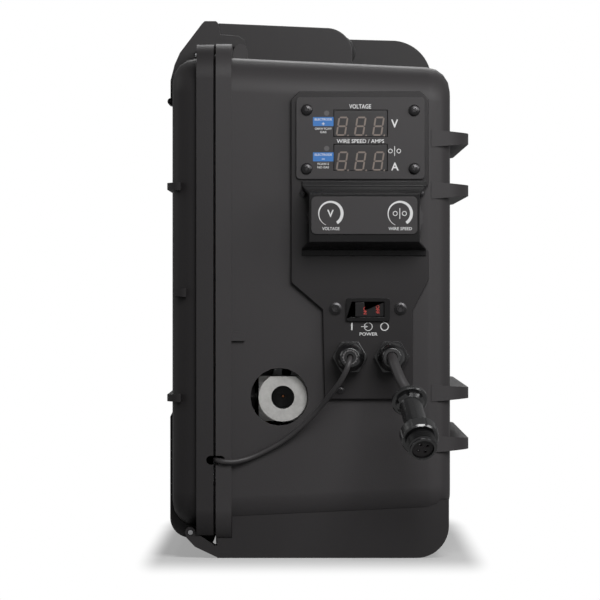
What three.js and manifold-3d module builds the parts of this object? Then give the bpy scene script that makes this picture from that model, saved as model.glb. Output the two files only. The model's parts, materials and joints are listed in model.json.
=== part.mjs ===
// Portable welding wire feeder in a moulded case, standing upright on its skid.
// Units are millimetres. +X is the feeder's right seen from the front, +Y runs back into the
// case and +Z is up. The origin is the middle of the skid's flat underside.
import * as THREE from 'three';
import { mergeVertices } from 'three/addons/utils/BufferGeometryUtils.js';
import Module from 'manifold-3d';

const wasm = await Module();
wasm.setup();

// ---------------------------------------------------------------- driving dimensions
// Running and seating clearances.
const SEAT = 0.3; // between pieces that sit on each other
const RUN = 0.5; // between pieces that move past each other

// Case: two mouldings that part on a plane across X.
const CASE_DEPTH = 516;
const CASE_WALL = 4;
const DRAFT = Math.tan(THREE.MathUtils.degToRad(2.7));
const CASE_CORNER_R = 26; // corners seen from the side
const PARTING_X = -72;
const BODY_RIGHT_X = 101.4;
const BODY_EDGE_R = 17;
const BODY_BOTTOM_Z = 19.3; // at the parting plane
const BODY_TOP_Z = 371;
const FLANGE_WIDTH = 11.6;
const FLANGE_PROUD_Z = 9.7;
const FLANGE_PROUD_Y = 5;
const GASKET_THICK = 1.1;
const GASKET_INSET = 6.5;
const GASKET_WIDTH = 4.5;
const DOOR_FLANGE_WIDTH = 12.6;
const DOOR_PAN_DEPTH = 18.1;
const DOOR_EDGE_R = 17.5;
const DOOR_BOTTOM_Z = 23;
const DOOR_TOP_Z = 370;

// Ribs that stiffen the case.
const BODY_RIB_Z = [84.4, 122, 271.9, 310.3];
const BODY_RIB_OUT = 13.9;
const BODY_RIB_ROOT = 14;
const BODY_RIB_TIP = 8;
const BODY_RIB_WRAP_R = 28; // where a rib turns onto the front and rear faces
const DOOR_RIB_Z = [118.5, 196.3, 274.8];
const DOOR_RIB_HEIGHT = 7.5;
const DOOR_RIB_OUT = 3.6;
const DOOR_RIB_PROUD_Y = 4.5;

// Door hinge: a rod along the lower left edge.
const HINGE_Z = 18.9;
const HINGE_FROM_DOOR_FLANGE = 4.6;
const HINGE_PIN_R = 2;
const HINGE_BOSS_R = 4;
const HINGE_ARM_WIDTH = 24;

// Skid under the case.
const SKID_LENGTH = 506;
const SKID_CORNER_R = 24;
const SKID_WALL = 4;
const SKID_FLOOR = 5;
const SKID_SIDE_Z = 43;

// Guards, latches and handle on top.
const GUARD_RISE = 30.5; // from the body's top to the guards' top
const GUARD_SPACING = 230;
const GUARD_THICK = 10;
const GUARD_FALL = 3.5;
const GUARD_FOOT_WIDTH = 12;
const GUARD_FOOT_THICK = 4;
const FRONT_GUARD_RIGHT_X = 30;
const REAR_GUARD_RIGHT_X = 95;
const LATCH_WIDTH = 30;
const LATCH_BOSS_R = 2.5;
const HASP_PIN_R = 1.3;
const KEEPER_RISE = 8; // from the body's top to the keeper pin
const KEEPER_R = 2;
const KEEPER_EAR_R = 5;
const LATCH_FALL = 32; // from the door's top to the latch's lower end
const HANDLE_PIVOT_X = -36;
const HANDLE_RISE = 13; // from the body's top to the handle's pivot
const HANDLE_REACH = 58;
const HANDLE_ARM = 12;
const HANDLE_GRIP_R = 10;
const HANDLE_PIN_R = 4;
const HANDLE_PIN_REACH = 8; // how far a pin enters its guard

// Gun opening and receiver.
const GUN_HOLE_X = -25;
const GUN_HOLE_Z = 119.3;
const GUN_HOLE_R = 21.4;
const WIRE_X = -22.5;
const WIRE_Z = 118.8;
const WIRE_R = 0.8;
const RECEIVER_R = 18;
const RECEIVER_BORE_R = 8.6;
const RECEIVER_FLAT_Z = 15.5; // height of the flat above the bore's axis
const RECEIVER_LENGTH = 55;
const RECEIVER_NOSE = 18;

// Front panel and what is on it.
const PANEL_THICK = 4;
const PLATE_THICK = 2;
const PANEL_LEFT_X = -16.3;
const PANEL_RIGHT_X = 85.2;
const PANEL_TOP_Z = 344.8;
const PANEL_BOTTOM_Z = 117.8;
const DISPLAY_X = 34.9;
const DISPLAY_WIDTH = 40;
const DISPLAY_HEIGHT = 20;
const DISPLAY_Z = [295.9, 321.1];
const PLATE_BOTTOM_Z = 280;
const KNOB_X = [13, 63.5];
const KNOB_Z = 251.2;
const KNOB_R = 17.6;
const KNOB_DEPTH = 14;
const KNOB_FLUTES = 18;
const GUARD_BOX_DEPTH = 30;
const GUARD_BOX_HEIGHT = 47.4;
const GUARD_BOX_FRONT_HEIGHT = 35.6;
const SHEET = 1.5;
const SWITCH_X = 40.4;
const SWITCH_Z = 183.8;
const SWITCH_WIDTH = 32.4;
const SWITCH_HEIGHT = 17;
const ROCKER_WIDTH = 21.5;
const ROCKER_HEIGHT = 10.8;
const ROCKER_TILT = THREE.MathUtils.degToRad(10);
const POT_BUSH_R = 4.5;
const POT_SHAFT_R = 3;
const LEGEND_CORNER_R = 3.5;
const GLAND_X = [27, 57.8];
const GLAND_Z = 148.9;
const GLAND_HEX_R = 13;
const GLAND_NUT_R = 10.9;
const GLAND_SHANK_R = 8;
const GLAND_NUT_LENGTH = 21;
const GLAND_HEX_LENGTH = 6.5;
const SENSE_R = 2;
const TRIGGER_R = 3.75;

// The sense lead's spare length: a round coil inside the case, with the lead's clip on its side.
const COIL_X = -57;
const COIL_Y = -212;
const COIL_R = 23; // the middle of its turns
const COIL_PITCH = 4.1; // from turn to turn, sideways and outwards
const COIL_COLUMNS = 5;
const COIL_LAYERS = 4;
const CLIP_LENGTH = 40;
const CLIP_THICK = 7.7;
const CLIP_OFFSET = 10; // from the coil's middle

// Wire drive: four geared rolls, two of them on a pressure arm.
const MODULE = 1.5;
const ROLL_TEETH = 22;
const PINION_TEETH = 12;
const GEAR_WIDTH = 7;
const BACKLASH = 0.35;
const ROLL_SPACING = 40;
const DRIVE_Y = -146;
const ROLL_WIDTH = 11;
const ROLL_SHAFT_R = 4;
const DRIVE_PLATE_THICK = 10;
const DIVIDER_X = 8;
const MOTOR_R = 29;
const MOTOR_LENGTH = 76;
const ARM_THICK = 8;

// Spool of welding wire.
const SPOOL_R = 150;
const SPOOL_WIDTH = 99;
const SPOOL_Y = 98;
const SPOOL_Z = 195;
const SPOOL_BORE_R = 26;
const SPOOL_BARREL_R = 58;
const SPOOL_FLANGE = 3.5;
const WINDING_R = 120;

// ---------------------------------------------------------------- derived places
const HALF_DEPTH = CASE_DEPTH / 2;
const FRONT_Y = -HALF_DEPTH;
const TOP_Z = BODY_TOP_Z + GUARD_RISE;
const KEEPER_Z = BODY_TOP_Z + KEEPER_RISE;
const LATCH_TIP_Z = DOOR_TOP_Z - LATCH_FALL;
const HANDLE_PIVOT_Z = BODY_TOP_Z + HANDLE_RISE;
const DOOR_PLANE_X = PARTING_X - GASKET_THICK - 2 * SEAT; // the door flange's inner face
const DOOR_FLANGE_X = DOOR_PLANE_X - DOOR_FLANGE_WIDTH;
const DOOR_OUTER_X = DOOR_FLANGE_X - DOOR_PAN_DEPTH;
const HINGE_X = DOOR_FLANGE_X - HINGE_FROM_DOOR_FLANGE;
const BODY_FLANGE_X = PARTING_X + FLANGE_WIDTH; // the body flange's inner side
const PANEL_BACK_Y = FRONT_Y - SEAT;
const PANEL_FRONT_Y = PANEL_BACK_Y - PANEL_THICK;
const ROLL_PITCH_R = (MODULE * ROLL_TEETH) / 2;
const PINION_PITCH_R = (MODULE * PINION_TEETH) / 2;
const PLATE_X = DIVIDER_X - SEAT - DRIVE_PLATE_THICK; // the drive plate's face
const COIL_HALF_WIDTH = (COIL_COLUMNS * COIL_PITCH) / 2;
const COIL_HALF_DEPTH = (COIL_LAYERS * COIL_PITCH) / 2;
const COIL_LEFT_X = COIL_X - COIL_HALF_WIDTH;
const COIL_FLOOR_Z = BODY_BOTTOM_Z + CASE_WALL + (COIL_X + COIL_HALF_WIDTH - PARTING_X) * DRAFT;
const COIL_Z = COIL_FLOOR_Z + SEAT + COIL_R + COIL_HALF_DEPTH;
const HINGE_ARM_SPACING = SKID_LENGTH - HINGE_ARM_WIDTH;

// ---------------------------------------------------------------- modelling helpers
const feeder = new THREE.Group();

// A closed geometry as a solid that can be joined and cut.
function solid(geometry) {
  const plain = geometry.index ? geometry.toNonIndexed() : geometry.clone();
  plain.deleteAttribute('normal');
  plain.deleteAttribute('uv');
  const merged = mergeVertices(plain, 1e-4);
  const position = merged.attributes.position;
  const corners = [0, 1, 2].map(() => new THREE.Vector3());
  const kept = [];
  let volume = 0;
  for (let i = 0; i < merged.index.count; i += 3) {
    const triangle = [0, 1, 2].map((k) => merged.index.getX(i + k));
    if (new Set(triangle).size < 3) continue;
    triangle.forEach((vertex, k) => corners[k].fromBufferAttribute(position, vertex));
    volume += corners[0].dot(corners[1].clone().cross(corners[2]));
    kept.push(triangle);
  }
  const triangles = volume < 0 ? kept.map(([a, b, c]) => [a, c, b]) : kept;
  const mesh = new wasm.Mesh({
    numProp: 3,
    vertProperties: new Float32Array(position.array),
    triVerts: new Uint32Array(triangles.flat()),
  });
  return new wasm.Manifold(mesh);
}

function join(...pieces) {
  return pieces.flat().reduce((whole, piece) => whole.add(piece));
}

function cut(whole, ...tools) {
  return tools.flat().reduce((left, tool) => left.subtract(tool), whole);
}

// The axis a prism, rod or lathe runs along, as the basis its outline is turned by.
const X = new THREE.Vector3(1, 0, 0);
const Y = new THREE.Vector3(0, 1, 0);
const Z = new THREE.Vector3(0, 0, 1);
const TURN = {
  x: new THREE.Matrix4().makeBasis(Y, Z, X),
  y: new THREE.Matrix4().makeBasis(X, Z, Y.clone().negate()),
  z: new THREE.Matrix4(),
};

// Extrudes an outline along an axis: its two coordinates are the other two axes in X, Y, Z order.
function prism(axis, shape, from, to, curveSegments = 8) {
  const geometry = new THREE.ExtrudeGeometry(shape, {
    depth: to - from,
    bevelEnabled: false,
    curveSegments,
  });
  geometry.applyMatrix4(TURN[axis]);
  const shift = { x: [from, 0, 0], y: [0, to, 0], z: [0, 0, from] }[axis];
  return solid(geometry.translate(...shift));
}

function outline(points) {
  return new THREE.Shape(points.map(([a, b]) => new THREE.Vector2(a, b)));
}

function circle(a, b, radius) {
  return new THREE.Shape().absarc(a, b, radius, 0, 2 * Math.PI);
}

function block(x0, x1, y0, y1, z0, z1) {
  const geometry = new THREE.BoxGeometry(x1 - x0, y1 - y0, z1 - z0);
  return solid(geometry.translate((x0 + x1) / 2, (y0 + y1) / 2, (z0 + z1) / 2));
}

// A rectangle with round corners, given by its sides.
function roundedRect(a0, a1, b0, b1, radius) {
  const shape = new THREE.Shape();
  shape.absarc(a1 - radius, b0 + radius, radius, -Math.PI / 2, 0);
  shape.absarc(a1 - radius, b1 - radius, radius, 0, Math.PI / 2);
  shape.absarc(a0 + radius, b1 - radius, radius, Math.PI / 2, Math.PI);
  shape.absarc(a0 + radius, b0 + radius, radius, Math.PI, 1.5 * Math.PI);
  shape.closePath();
  return shape;
}

// A straight rod along an axis; a and b place it on the other two axes.
function rod(axis, a, b, radius, from, to, segments = 7) {
  return prism(axis, circle(a, b, radius), from, to, segments);
}

// Turns a profile of [radius, height] points about an axis through a, b.
function lathe(axis, profile, a = 0, b = 0, segments = 24) {
  const points = profile.map(([radius, height]) => new THREE.Vector2(radius, height));
  const geometry = new THREE.LatheGeometry(points, segments);
  if (axis === 'x') geometry.rotateZ(-Math.PI / 2).translate(0, a, b);
  if (axis === 'y') geometry.translate(a, 0, b);
  if (axis === 'z') geometry.rotateX(Math.PI / 2).translate(a, b, 0);
  return solid(geometry);
}

// A tube along a route of hand-placed points.
function tube(points, radius, sides, steps) {
  const route = new THREE.CatmullRomCurve3(points.map((point) => new THREE.Vector3(...point)));
  const section = new THREE.Shape();
  for (let i = 0; i < sides; i++) {
    const angle = (2 * Math.PI * i) / sides;
    const place = [radius * Math.cos(angle), radius * Math.sin(angle)];
    if (i === 0) section.moveTo(...place);
    else section.lineTo(...place);
  }
  section.closePath();
  return solid(new THREE.ExtrudeGeometry(section, { steps, extrudePath: route, bevelEnabled: false }));
}

// Finishes that sub-parts share: colour, roughness, metalness.
const FINISH = {
  grained: ['#2e2c2d', 0.75, 0],
  satin: ['#222122', 0.55, 0],
  gloss: ['#121112', 0.25, 0],
  coated: ['#1b1a1b', 0.35, 0.1],
  rubber: ['#141414', 0.9, 0],
  steel: ['#a9a9a7', 0.35, 1],
  aluminium: ['#c4c5c4', 0.4, 1],
  brass: ['#b8963f', 0.35, 1],
  copper: ['#b87048', 0.35, 1],
  red: ['#9b1c16', 0.4, 0],
  lens: ['#1d1817', 0.12, 0],
  board: ['#1f5a34', 0.6, 0],
  reel: ['#1f1e1f', 0.6, 0],
};

function place(name, manifold, [color, roughness, metalness], parent = feeder) {
  const { vertProperties, triVerts } = manifold.getMesh();
  const geometry = new THREE.BufferGeometry();
  geometry.setAttribute('position', new THREE.BufferAttribute(new Float32Array(vertProperties), 3));
  geometry.setIndex(new THREE.BufferAttribute(new Uint32Array(triVerts), 1));
  geometry.computeVertexNormals();
  const material = new THREE.MeshStandardMaterial({ color, roughness, metalness });
  const mesh = new THREE.Mesh(geometry, material);
  mesh.name = name;
  parent.add(mesh);
  return mesh;
}

// ---------------------------------------------------------------- case forms
// Stacks closed outlines of equal point count, each a list of [x, y, z] points, into a solid.
function loft(rings) {
  const count = rings[0].length;
  const positions = rings.flat().flat();
  const indices = [];
  for (let ring = 0; ring + 1 < rings.length; ring++) {
    for (let i = 0; i < count; i++) {
      const a = ring * count + i;
      const b = ring * count + ((i + 1) % count);
      indices.push(a, b, b + count, a, b + count, a + count);
    }
  }
  const last = (rings.length - 1) * count;
  for (let i = 1; i + 1 < count; i++) {
    indices.push(0, i + 1, i, last, last + i, last + i + 1);
  }
  const geometry = new THREE.BufferGeometry();
  geometry.setAttribute('position', new THREE.Float32BufferAttribute(positions, 3));
  geometry.setIndex(indices);
  return solid(geometry);
}

const CORNER_STEPS = 4;
const EDGE_STEPS = 4;

// One section of a case moulding at x: a rounded rectangle seen from the side.
function caseSection(x, halfDepth, bottom, top, radius) {
  const points = [];
  const corners = [
    [halfDepth - radius, bottom + radius, -90],
    [halfDepth - radius, top - radius, 0],
    [radius - halfDepth, top - radius, 90],
    [radius - halfDepth, bottom + radius, 180],
  ];
  for (const [y, z, start] of corners) {
    for (let i = 0; i <= CORNER_STEPS; i++) {
      const angle = THREE.MathUtils.degToRad(start + (90 * i) / CORNER_STEPS);
      points.push([x, y + radius * Math.cos(angle), z + radius * Math.sin(angle)]);
    }
  }
  return points;
}

// The body moulding's form, inset by a wall or grown by a clearance, from openX to its right face.
function bodyForm(inset, openX) {
  const section = (x, extra) => {
    const rise = (x - PARTING_X) * DRAFT + inset + extra;
    const corner = Math.max(CASE_CORNER_R - inset - extra, 4);
    return caseSection(x, HALF_DEPTH - inset - extra, BODY_BOTTOM_Z + rise, BODY_TOP_Z - rise, corner);
  };
  const edge = BODY_EDGE_R - inset;
  const rings = [section(openX, 0)];
  for (let i = 0; i <= EDGE_STEPS; i++) {
    const angle = (Math.PI / 2) * (i / EDGE_STEPS);
    rings.push(section(BODY_RIGHT_X - inset - edge + edge * Math.sin(angle), edge * (1 - Math.cos(angle))));
  }
  return loft(rings);
}

// The door pan's form, from openX out to its face on the left.
function doorForm(inset, openX) {
  const section = (x, extra) => {
    const step = inset + extra;
    const corner = Math.max(CASE_CORNER_R - step, 4);
    return caseSection(x, HALF_DEPTH - step, DOOR_BOTTOM_Z + step, DOOR_TOP_Z - step, corner);
  };
  const edge = DOOR_EDGE_R - inset;
  const rings = [];
  for (let i = EDGE_STEPS; i >= 0; i--) {
    const angle = (Math.PI / 2) * (i / EDGE_STEPS);
    rings.push(section(DOOR_OUTER_X + inset + edge - edge * Math.sin(angle), edge * (1 - Math.cos(angle))));
  }
  rings.push(section(openX, 0));
  return loft(rings);
}

// A flange plate between two planes across X, with its outer edge inset.
function flangePlate(x0, x1, inset) {
  const halfDepth = HALF_DEPTH + FLANGE_PROUD_Y - inset;
  const bottom = BODY_BOTTOM_Z - FLANGE_PROUD_Z + inset;
  const top = BODY_TOP_Z + FLANGE_PROUD_Z - inset;
  const radius = CASE_CORNER_R - inset / 2;
  return prism('x', roundedRect(-halfDepth, halfDepth, bottom, top, radius), x0, x1, CORNER_STEPS);
}

// A rib: its outline seen from above, tapering in height from root to tip.
function rib(shape, z, rootX, tipX, rootHeight, tipHeight) {
  const wedge = outline([
    [rootX, z - rootHeight / 2],
    [tipX, z - tipHeight / 2],
    [tipX, z + tipHeight / 2],
    [rootX, z + rootHeight / 2],
  ]);
  const reach = HALF_DEPTH + 20;
  const bar = prism('y', wedge, -reach, reach);
  return bar.intersect(prism('z', shape, z - rootHeight, z + rootHeight, 3));
}

// ---------------------------------------------------------------- case
const FLANGE_BOTTOM_Z = BODY_BOTTOM_Z - FLANGE_PROUD_Z;
const FLANGE_TOP_Z = BODY_TOP_Z + FLANGE_PROUD_Z;
const LUG_THICK = 5;
const KEEPER_X = BODY_FLANGE_X + 2 * SEAT + KEEPER_EAR_R;
const LATCH_Y = (GUARD_SPACING + GUARD_THICK + LATCH_WIDTH) / 2 + SEAT + LUG_THICK + RUN;
const STUD_X = 45;
const STUD_Z = 95;
const STUD_COLLAR_R = 19;
const GAS_X = 45;
const GAS_Z = 300;
const GAS_THREAD_R = 9;

// The slot through both flanges that lets a cable into the closed case.
const CABLE_SLOT_Z = 72.6;
const CABLE_SLOT_HEIGHT = 6.7;
const CABLE_SLOT_WIDTH = 14;
const cableSlot = prism(
  'y',
  roundedRect(
    PARTING_X - CABLE_SLOT_WIDTH / 2,
    PARTING_X + CABLE_SLOT_WIDTH / 2,
    CABLE_SLOT_Z - CABLE_SLOT_HEIGHT / 2,
    CABLE_SLOT_Z + CABLE_SLOT_HEIGHT / 2,
    CABLE_SLOT_HEIGHT / 2 - 0.01,
  ),
  FRONT_Y - 3 * FLANGE_PROUD_Y,
  FRONT_Y + 2 * CASE_WALL,
);

// A rib's plan: square at its root, with its two outer corners rounded.
function ribPlan(rootX, outX, halfDepth, radius) {
  const side = Math.sign(outX - rootX);
  const x = outX - side * radius;
  const y = halfDepth - radius;
  const outward = side > 0 ? 0 : Math.PI;
  const plan = new THREE.Shape();
  plan.moveTo(rootX, -halfDepth);
  plan.absarc(x, -y, radius, -Math.PI / 2, side > 0 ? outward : -outward, side < 0);
  plan.absarc(x, y, radius, outward, Math.PI / 2, side < 0);
  plan.lineTo(rootX, halfDepth);
  return plan;
}

function bodyRibs() {
  const outX = BODY_RIGHT_X + BODY_RIB_OUT;
  const rootX = BODY_RIGHT_X - BODY_EDGE_R - CASE_WALL;
  const plan = ribPlan(rootX, outX, HALF_DEPTH, BODY_RIB_WRAP_R);
  return BODY_RIB_Z.map((z) => rib(plan, z, rootX, outX, BODY_RIB_ROOT, BODY_RIB_TIP));
}

// Ears and the keeper pin between them, standing on the body's top behind its flange.
function keeper(y) {
  const profile = new THREE.Shape();
  profile.moveTo(BODY_FLANGE_X - 1, BODY_TOP_Z - CASE_WALL);
  profile.lineTo(KEEPER_X + KEEPER_EAR_R, BODY_TOP_Z - CASE_WALL);
  profile.lineTo(KEEPER_X + KEEPER_EAR_R, KEEPER_Z);
  profile.absarc(KEEPER_X, KEEPER_Z, KEEPER_EAR_R, 0, Math.PI);
  profile.lineTo(BODY_FLANGE_X - 1, KEEPER_Z);
  const inner = LATCH_WIDTH / 2 + RUN;
  const outer = inner + LUG_THICK;
  return [
    prism('y', profile, y - outer, y - inner, 4),
    prism('y', profile, y + inner, y + outer, 4),
    rod('y', KEEPER_X, KEEPER_Z, KEEPER_R, y - inner - 1, y + inner + 1, 5),
  ];
}

const TAB_Z = 164;
const moulding = join(
  bodyForm(0, PARTING_X),
  flangePlate(PARTING_X, BODY_FLANGE_X, 0),
  bodyRibs(),
  keeper(-LATCH_Y),
  keeper(LATCH_Y),
  block(BODY_FLANGE_X - 1, BODY_FLANGE_X + 10, FRONT_Y - 3, FRONT_Y + 1, TAB_Z - 3.4, TAB_Z + 3.4),
);
const wallCut = (shape, segments = 7) => prism('y', shape, FRONT_Y - 1, FRONT_Y + CASE_WALL + 1, segments);
const rearCut = (shape) => prism('y', shape, HALF_DEPTH - CASE_WALL - 1, HALF_DEPTH + 1, 8);
const PANEL_WINDOW = [PANEL_LEFT_X + 9, PANEL_RIGHT_X - 8, KNOB_Z - 14, PANEL_TOP_Z - 10];
const body = cut(
  moulding,
  bodyForm(CASE_WALL, PARTING_X - 1),
  wallCut(circle(GUN_HOLE_X, GUN_HOLE_Z, GUN_HOLE_R), 10),
  wallCut(roundedRect(...PANEL_WINDOW, 6), 4),
  wallCut(roundedRect(SWITCH_X - 15, SWITCH_X + 15, SWITCH_Z - 9, SWITCH_Z + 9, 2), 3),
  GLAND_X.map((x) => wallCut(circle(x, GLAND_Z, GLAND_SHANK_R + SEAT))),
  cableSlot,
  rearCut(circle(STUD_X, STUD_Z, STUD_COLLAR_R - 4)),
  rearCut(circle(GAS_X, GAS_Z, GAS_THREAD_R + SEAT)),
);
place('body_shell', body, FINISH.grained);

// ---------------------------------------------------------------- skid
const SKID_LEFT_X = PARTING_X + 1;
const SKID_RIGHT_X = BODY_RIGHT_X - 1;

function skid() {
  const half = SKID_LENGTH / 2;
  const profile = new THREE.Shape();
  profile.moveTo(SKID_LEFT_X, 0);
  profile.lineTo(SKID_RIGHT_X - SKID_CORNER_R, 0);
  profile.absarc(SKID_RIGHT_X - SKID_CORNER_R, SKID_CORNER_R, SKID_CORNER_R, -Math.PI / 2, 0);
  profile.lineTo(SKID_RIGHT_X, SKID_SIDE_Z);
  profile.lineTo(SKID_LEFT_X, SKID_SIDE_Z);
  const pocketShape = new THREE.Shape();
  const innerR = SKID_CORNER_R - SKID_WALL;
  const innerX = SKID_RIGHT_X - SKID_WALL;
  pocketShape.moveTo(SKID_LEFT_X + SKID_WALL, SKID_FLOOR);
  pocketShape.lineTo(innerX - innerR, SKID_FLOOR);
  pocketShape.absarc(innerX - innerR, SKID_FLOOR + innerR, innerR, -Math.PI / 2, 0);
  pocketShape.lineTo(innerX, SKID_SIDE_Z + 1);
  pocketShape.lineTo(SKID_LEFT_X + SKID_WALL, SKID_SIDE_Z + 1);
  const bays = 4;
  const pitch = (SKID_LENGTH - SKID_WALL) / bays;
  const pockets = [];
  for (let bay = 0; bay < bays; bay++) {
    const start = -half + SKID_WALL + bay * pitch;
    pockets.push(prism('y', pocketShape, start, start + pitch - SKID_WALL, 5));
  }
  const arms = [-1, 1].map((side) => {
    const y = (side * HINGE_ARM_SPACING) / 2;
    const from = y - HINGE_ARM_WIDTH / 2;
    const to = y + HINGE_ARM_WIDTH / 2;
    const arm = outline([
      [HINGE_X - HINGE_BOSS_R, HINGE_Z],
      [HINGE_X - 0.7 * HINGE_BOSS_R, HINGE_Z - HINGE_BOSS_R],
      [DOOR_FLANGE_X - 1.2, FLANGE_BOTTOM_Z - 1.3],
      [PARTING_X + 2, 0],
      [SKID_LEFT_X + SKID_WALL, 0],
      [SKID_LEFT_X + SKID_WALL, FLANGE_BOTTOM_Z - SEAT],
      [PARTING_X - 1, FLANGE_BOTTOM_Z - SEAT],
      [HINGE_X + HINGE_BOSS_R, HINGE_Z],
    ]);
    const boss = rod('y', HINGE_X, HINGE_Z, HINGE_BOSS_R, from, to, 8);
    const bore = rod('y', HINGE_X, HINGE_Z, HINGE_PIN_R + SEAT, from - 1, to + 1, 8);
    return cut(join(prism('y', arm, from, to), boss), bore);
  });
  const tray = cut(
    prism('y', profile, -half, half, 6),
    pockets,
    bodyForm(-SEAT, PARTING_X - 10),
    flangePlate(PARTING_X - 10, BODY_FLANGE_X + SEAT, -SEAT),
  );
  return join(tray, arms);
}
place('bottom_skid', skid(), FINISH.satin);

// ---------------------------------------------------------------- top guards and handle
const FLANGE_ROOM = 1.2; // above the flanges' top
function topGuard(y, rightX, corner, inward) {
  const leftX = BODY_FLANGE_X + RUN;
  const rightZ = TOP_Z - GUARD_FALL;
  const profile = new THREE.Shape();
  profile.moveTo(leftX, BODY_TOP_Z - 20);
  profile.lineTo(rightX, BODY_TOP_Z - 25);
  profile.lineTo(rightX, rightZ - corner);
  profile.absarc(rightX - corner, rightZ - corner, corner, 0, Math.PI / 2);
  profile.lineTo(PARTING_X - RUN, TOP_Z);
  profile.lineTo(PARTING_X - RUN, FLANGE_TOP_Z + FLANGE_ROOM);
  profile.lineTo(leftX, FLANGE_TOP_Z + FLANGE_ROOM);
  const plate = prism('y', profile, y - GUARD_THICK / 2, y + GUARD_THICK / 2, 8);
  const footY = y + inward * ((GUARD_THICK + GUARD_FOOT_WIDTH) / 2);
  const reach = GUARD_FOOT_WIDTH / 2 + 1;
  const top = BODY_TOP_Z + 10;
  const band = block(leftX, rightX - 6, footY - reach, footY + reach, top - 40, top);
  const foot = bodyForm(-SEAT - GUARD_FOOT_THICK, PARTING_X).intersect(band);
  const mouthY = y + inward * GUARD_THICK;
  const endY = y + inward * (GUARD_THICK / 2 - HANDLE_PIN_REACH - RUN);
  const pivot = rod(
    'y',
    HANDLE_PIVOT_X,
    HANDLE_PIVOT_Z,
    HANDLE_PIN_R + SEAT,
    Math.min(mouthY, endY),
    Math.max(mouthY, endY),
    8,
  );
  return cut(join(plate, foot), bodyForm(-SEAT, PARTING_X - 10), pivot);
}
place('top_guard_front', topGuard(-GUARD_SPACING / 2, FRONT_GUARD_RIGHT_X, 20, 1), FINISH.satin);
place('top_guard_rear', topGuard(GUARD_SPACING / 2, REAR_GUARD_RIGHT_X, 32, -1), FINISH.satin);

function carryHandle() {
  const half = (GUARD_SPACING - GUARD_THICK) / 2 - RUN;
  const gripX = HANDLE_PIVOT_X + HANDLE_REACH;
  const halfHeight = HANDLE_ARM / 2;
  const arms = [-1, 1].map((side) => {
    const outer = side * half;
    const inner = side * (half - HANDLE_ARM);
    const shape = new THREE.Shape();
    shape.absarc(gripX, HANDLE_PIVOT_Z, halfHeight, -Math.PI / 2, Math.PI / 2);
    shape.absarc(HANDLE_PIVOT_X, HANDLE_PIVOT_Z, halfHeight, Math.PI / 2, 1.5 * Math.PI);
    const arm = prism('y', shape, Math.min(inner, outer), Math.max(inner, outer), 6);
    const tip = side * (half + HANDLE_PIN_REACH);
    const from = Math.min(inner, tip);
    return join(arm, rod('y', HANDLE_PIVOT_X, HANDLE_PIVOT_Z, HANDLE_PIN_R, from, Math.max(inner, tip), 8));
  });
  return join(arms, rod('y', gripX, HANDLE_PIVOT_Z, HANDLE_GRIP_R - 4, -half + 2, half - 2, 8));
}
place('carry_handle', carryHandle(), FINISH.steel);

function handleGrip() {
  const half = 64;
  const inner = HANDLE_GRIP_R - 4 + SEAT;
  const profile = [
    [inner, -half],
    [HANDLE_GRIP_R - 1.5, -half],
    [HANDLE_GRIP_R, -half + 4],
    [HANDLE_GRIP_R + 1.5, 0],
    [HANDLE_GRIP_R, half - 4],
    [HANDLE_GRIP_R - 1.5, half],
    [inner, half],
    [inner, -half],
  ];
  return lathe('y', profile, HANDLE_PIVOT_X + HANDLE_REACH, HANDLE_PIVOT_Z, 14);
}
place('handle_grip', handleGrip(), FINISH.rubber);

// ---------------------------------------------------------------- latches
// A latch is a hasp hinged low on the door's face. It reaches over the door's shoulder and both
// flanges, and its lip lies over the keeper pin that the body's ears hold.
const CATCH_R = 1.5;
const CATCH_X = DOOR_FLANGE_X - SEAT - CATCH_R;
const CATCH_Z = KEEPER_Z - 3;
const LATCH_CHEEK = 4;
const LATCH_LIP = 9;
const HASP_PIN_X = DOOR_OUTER_X - LATCH_BOSS_R - 2 * SEAT;
const HASP_PIN_Z = LATCH_TIP_Z + LATCH_BOSS_R;

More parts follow.
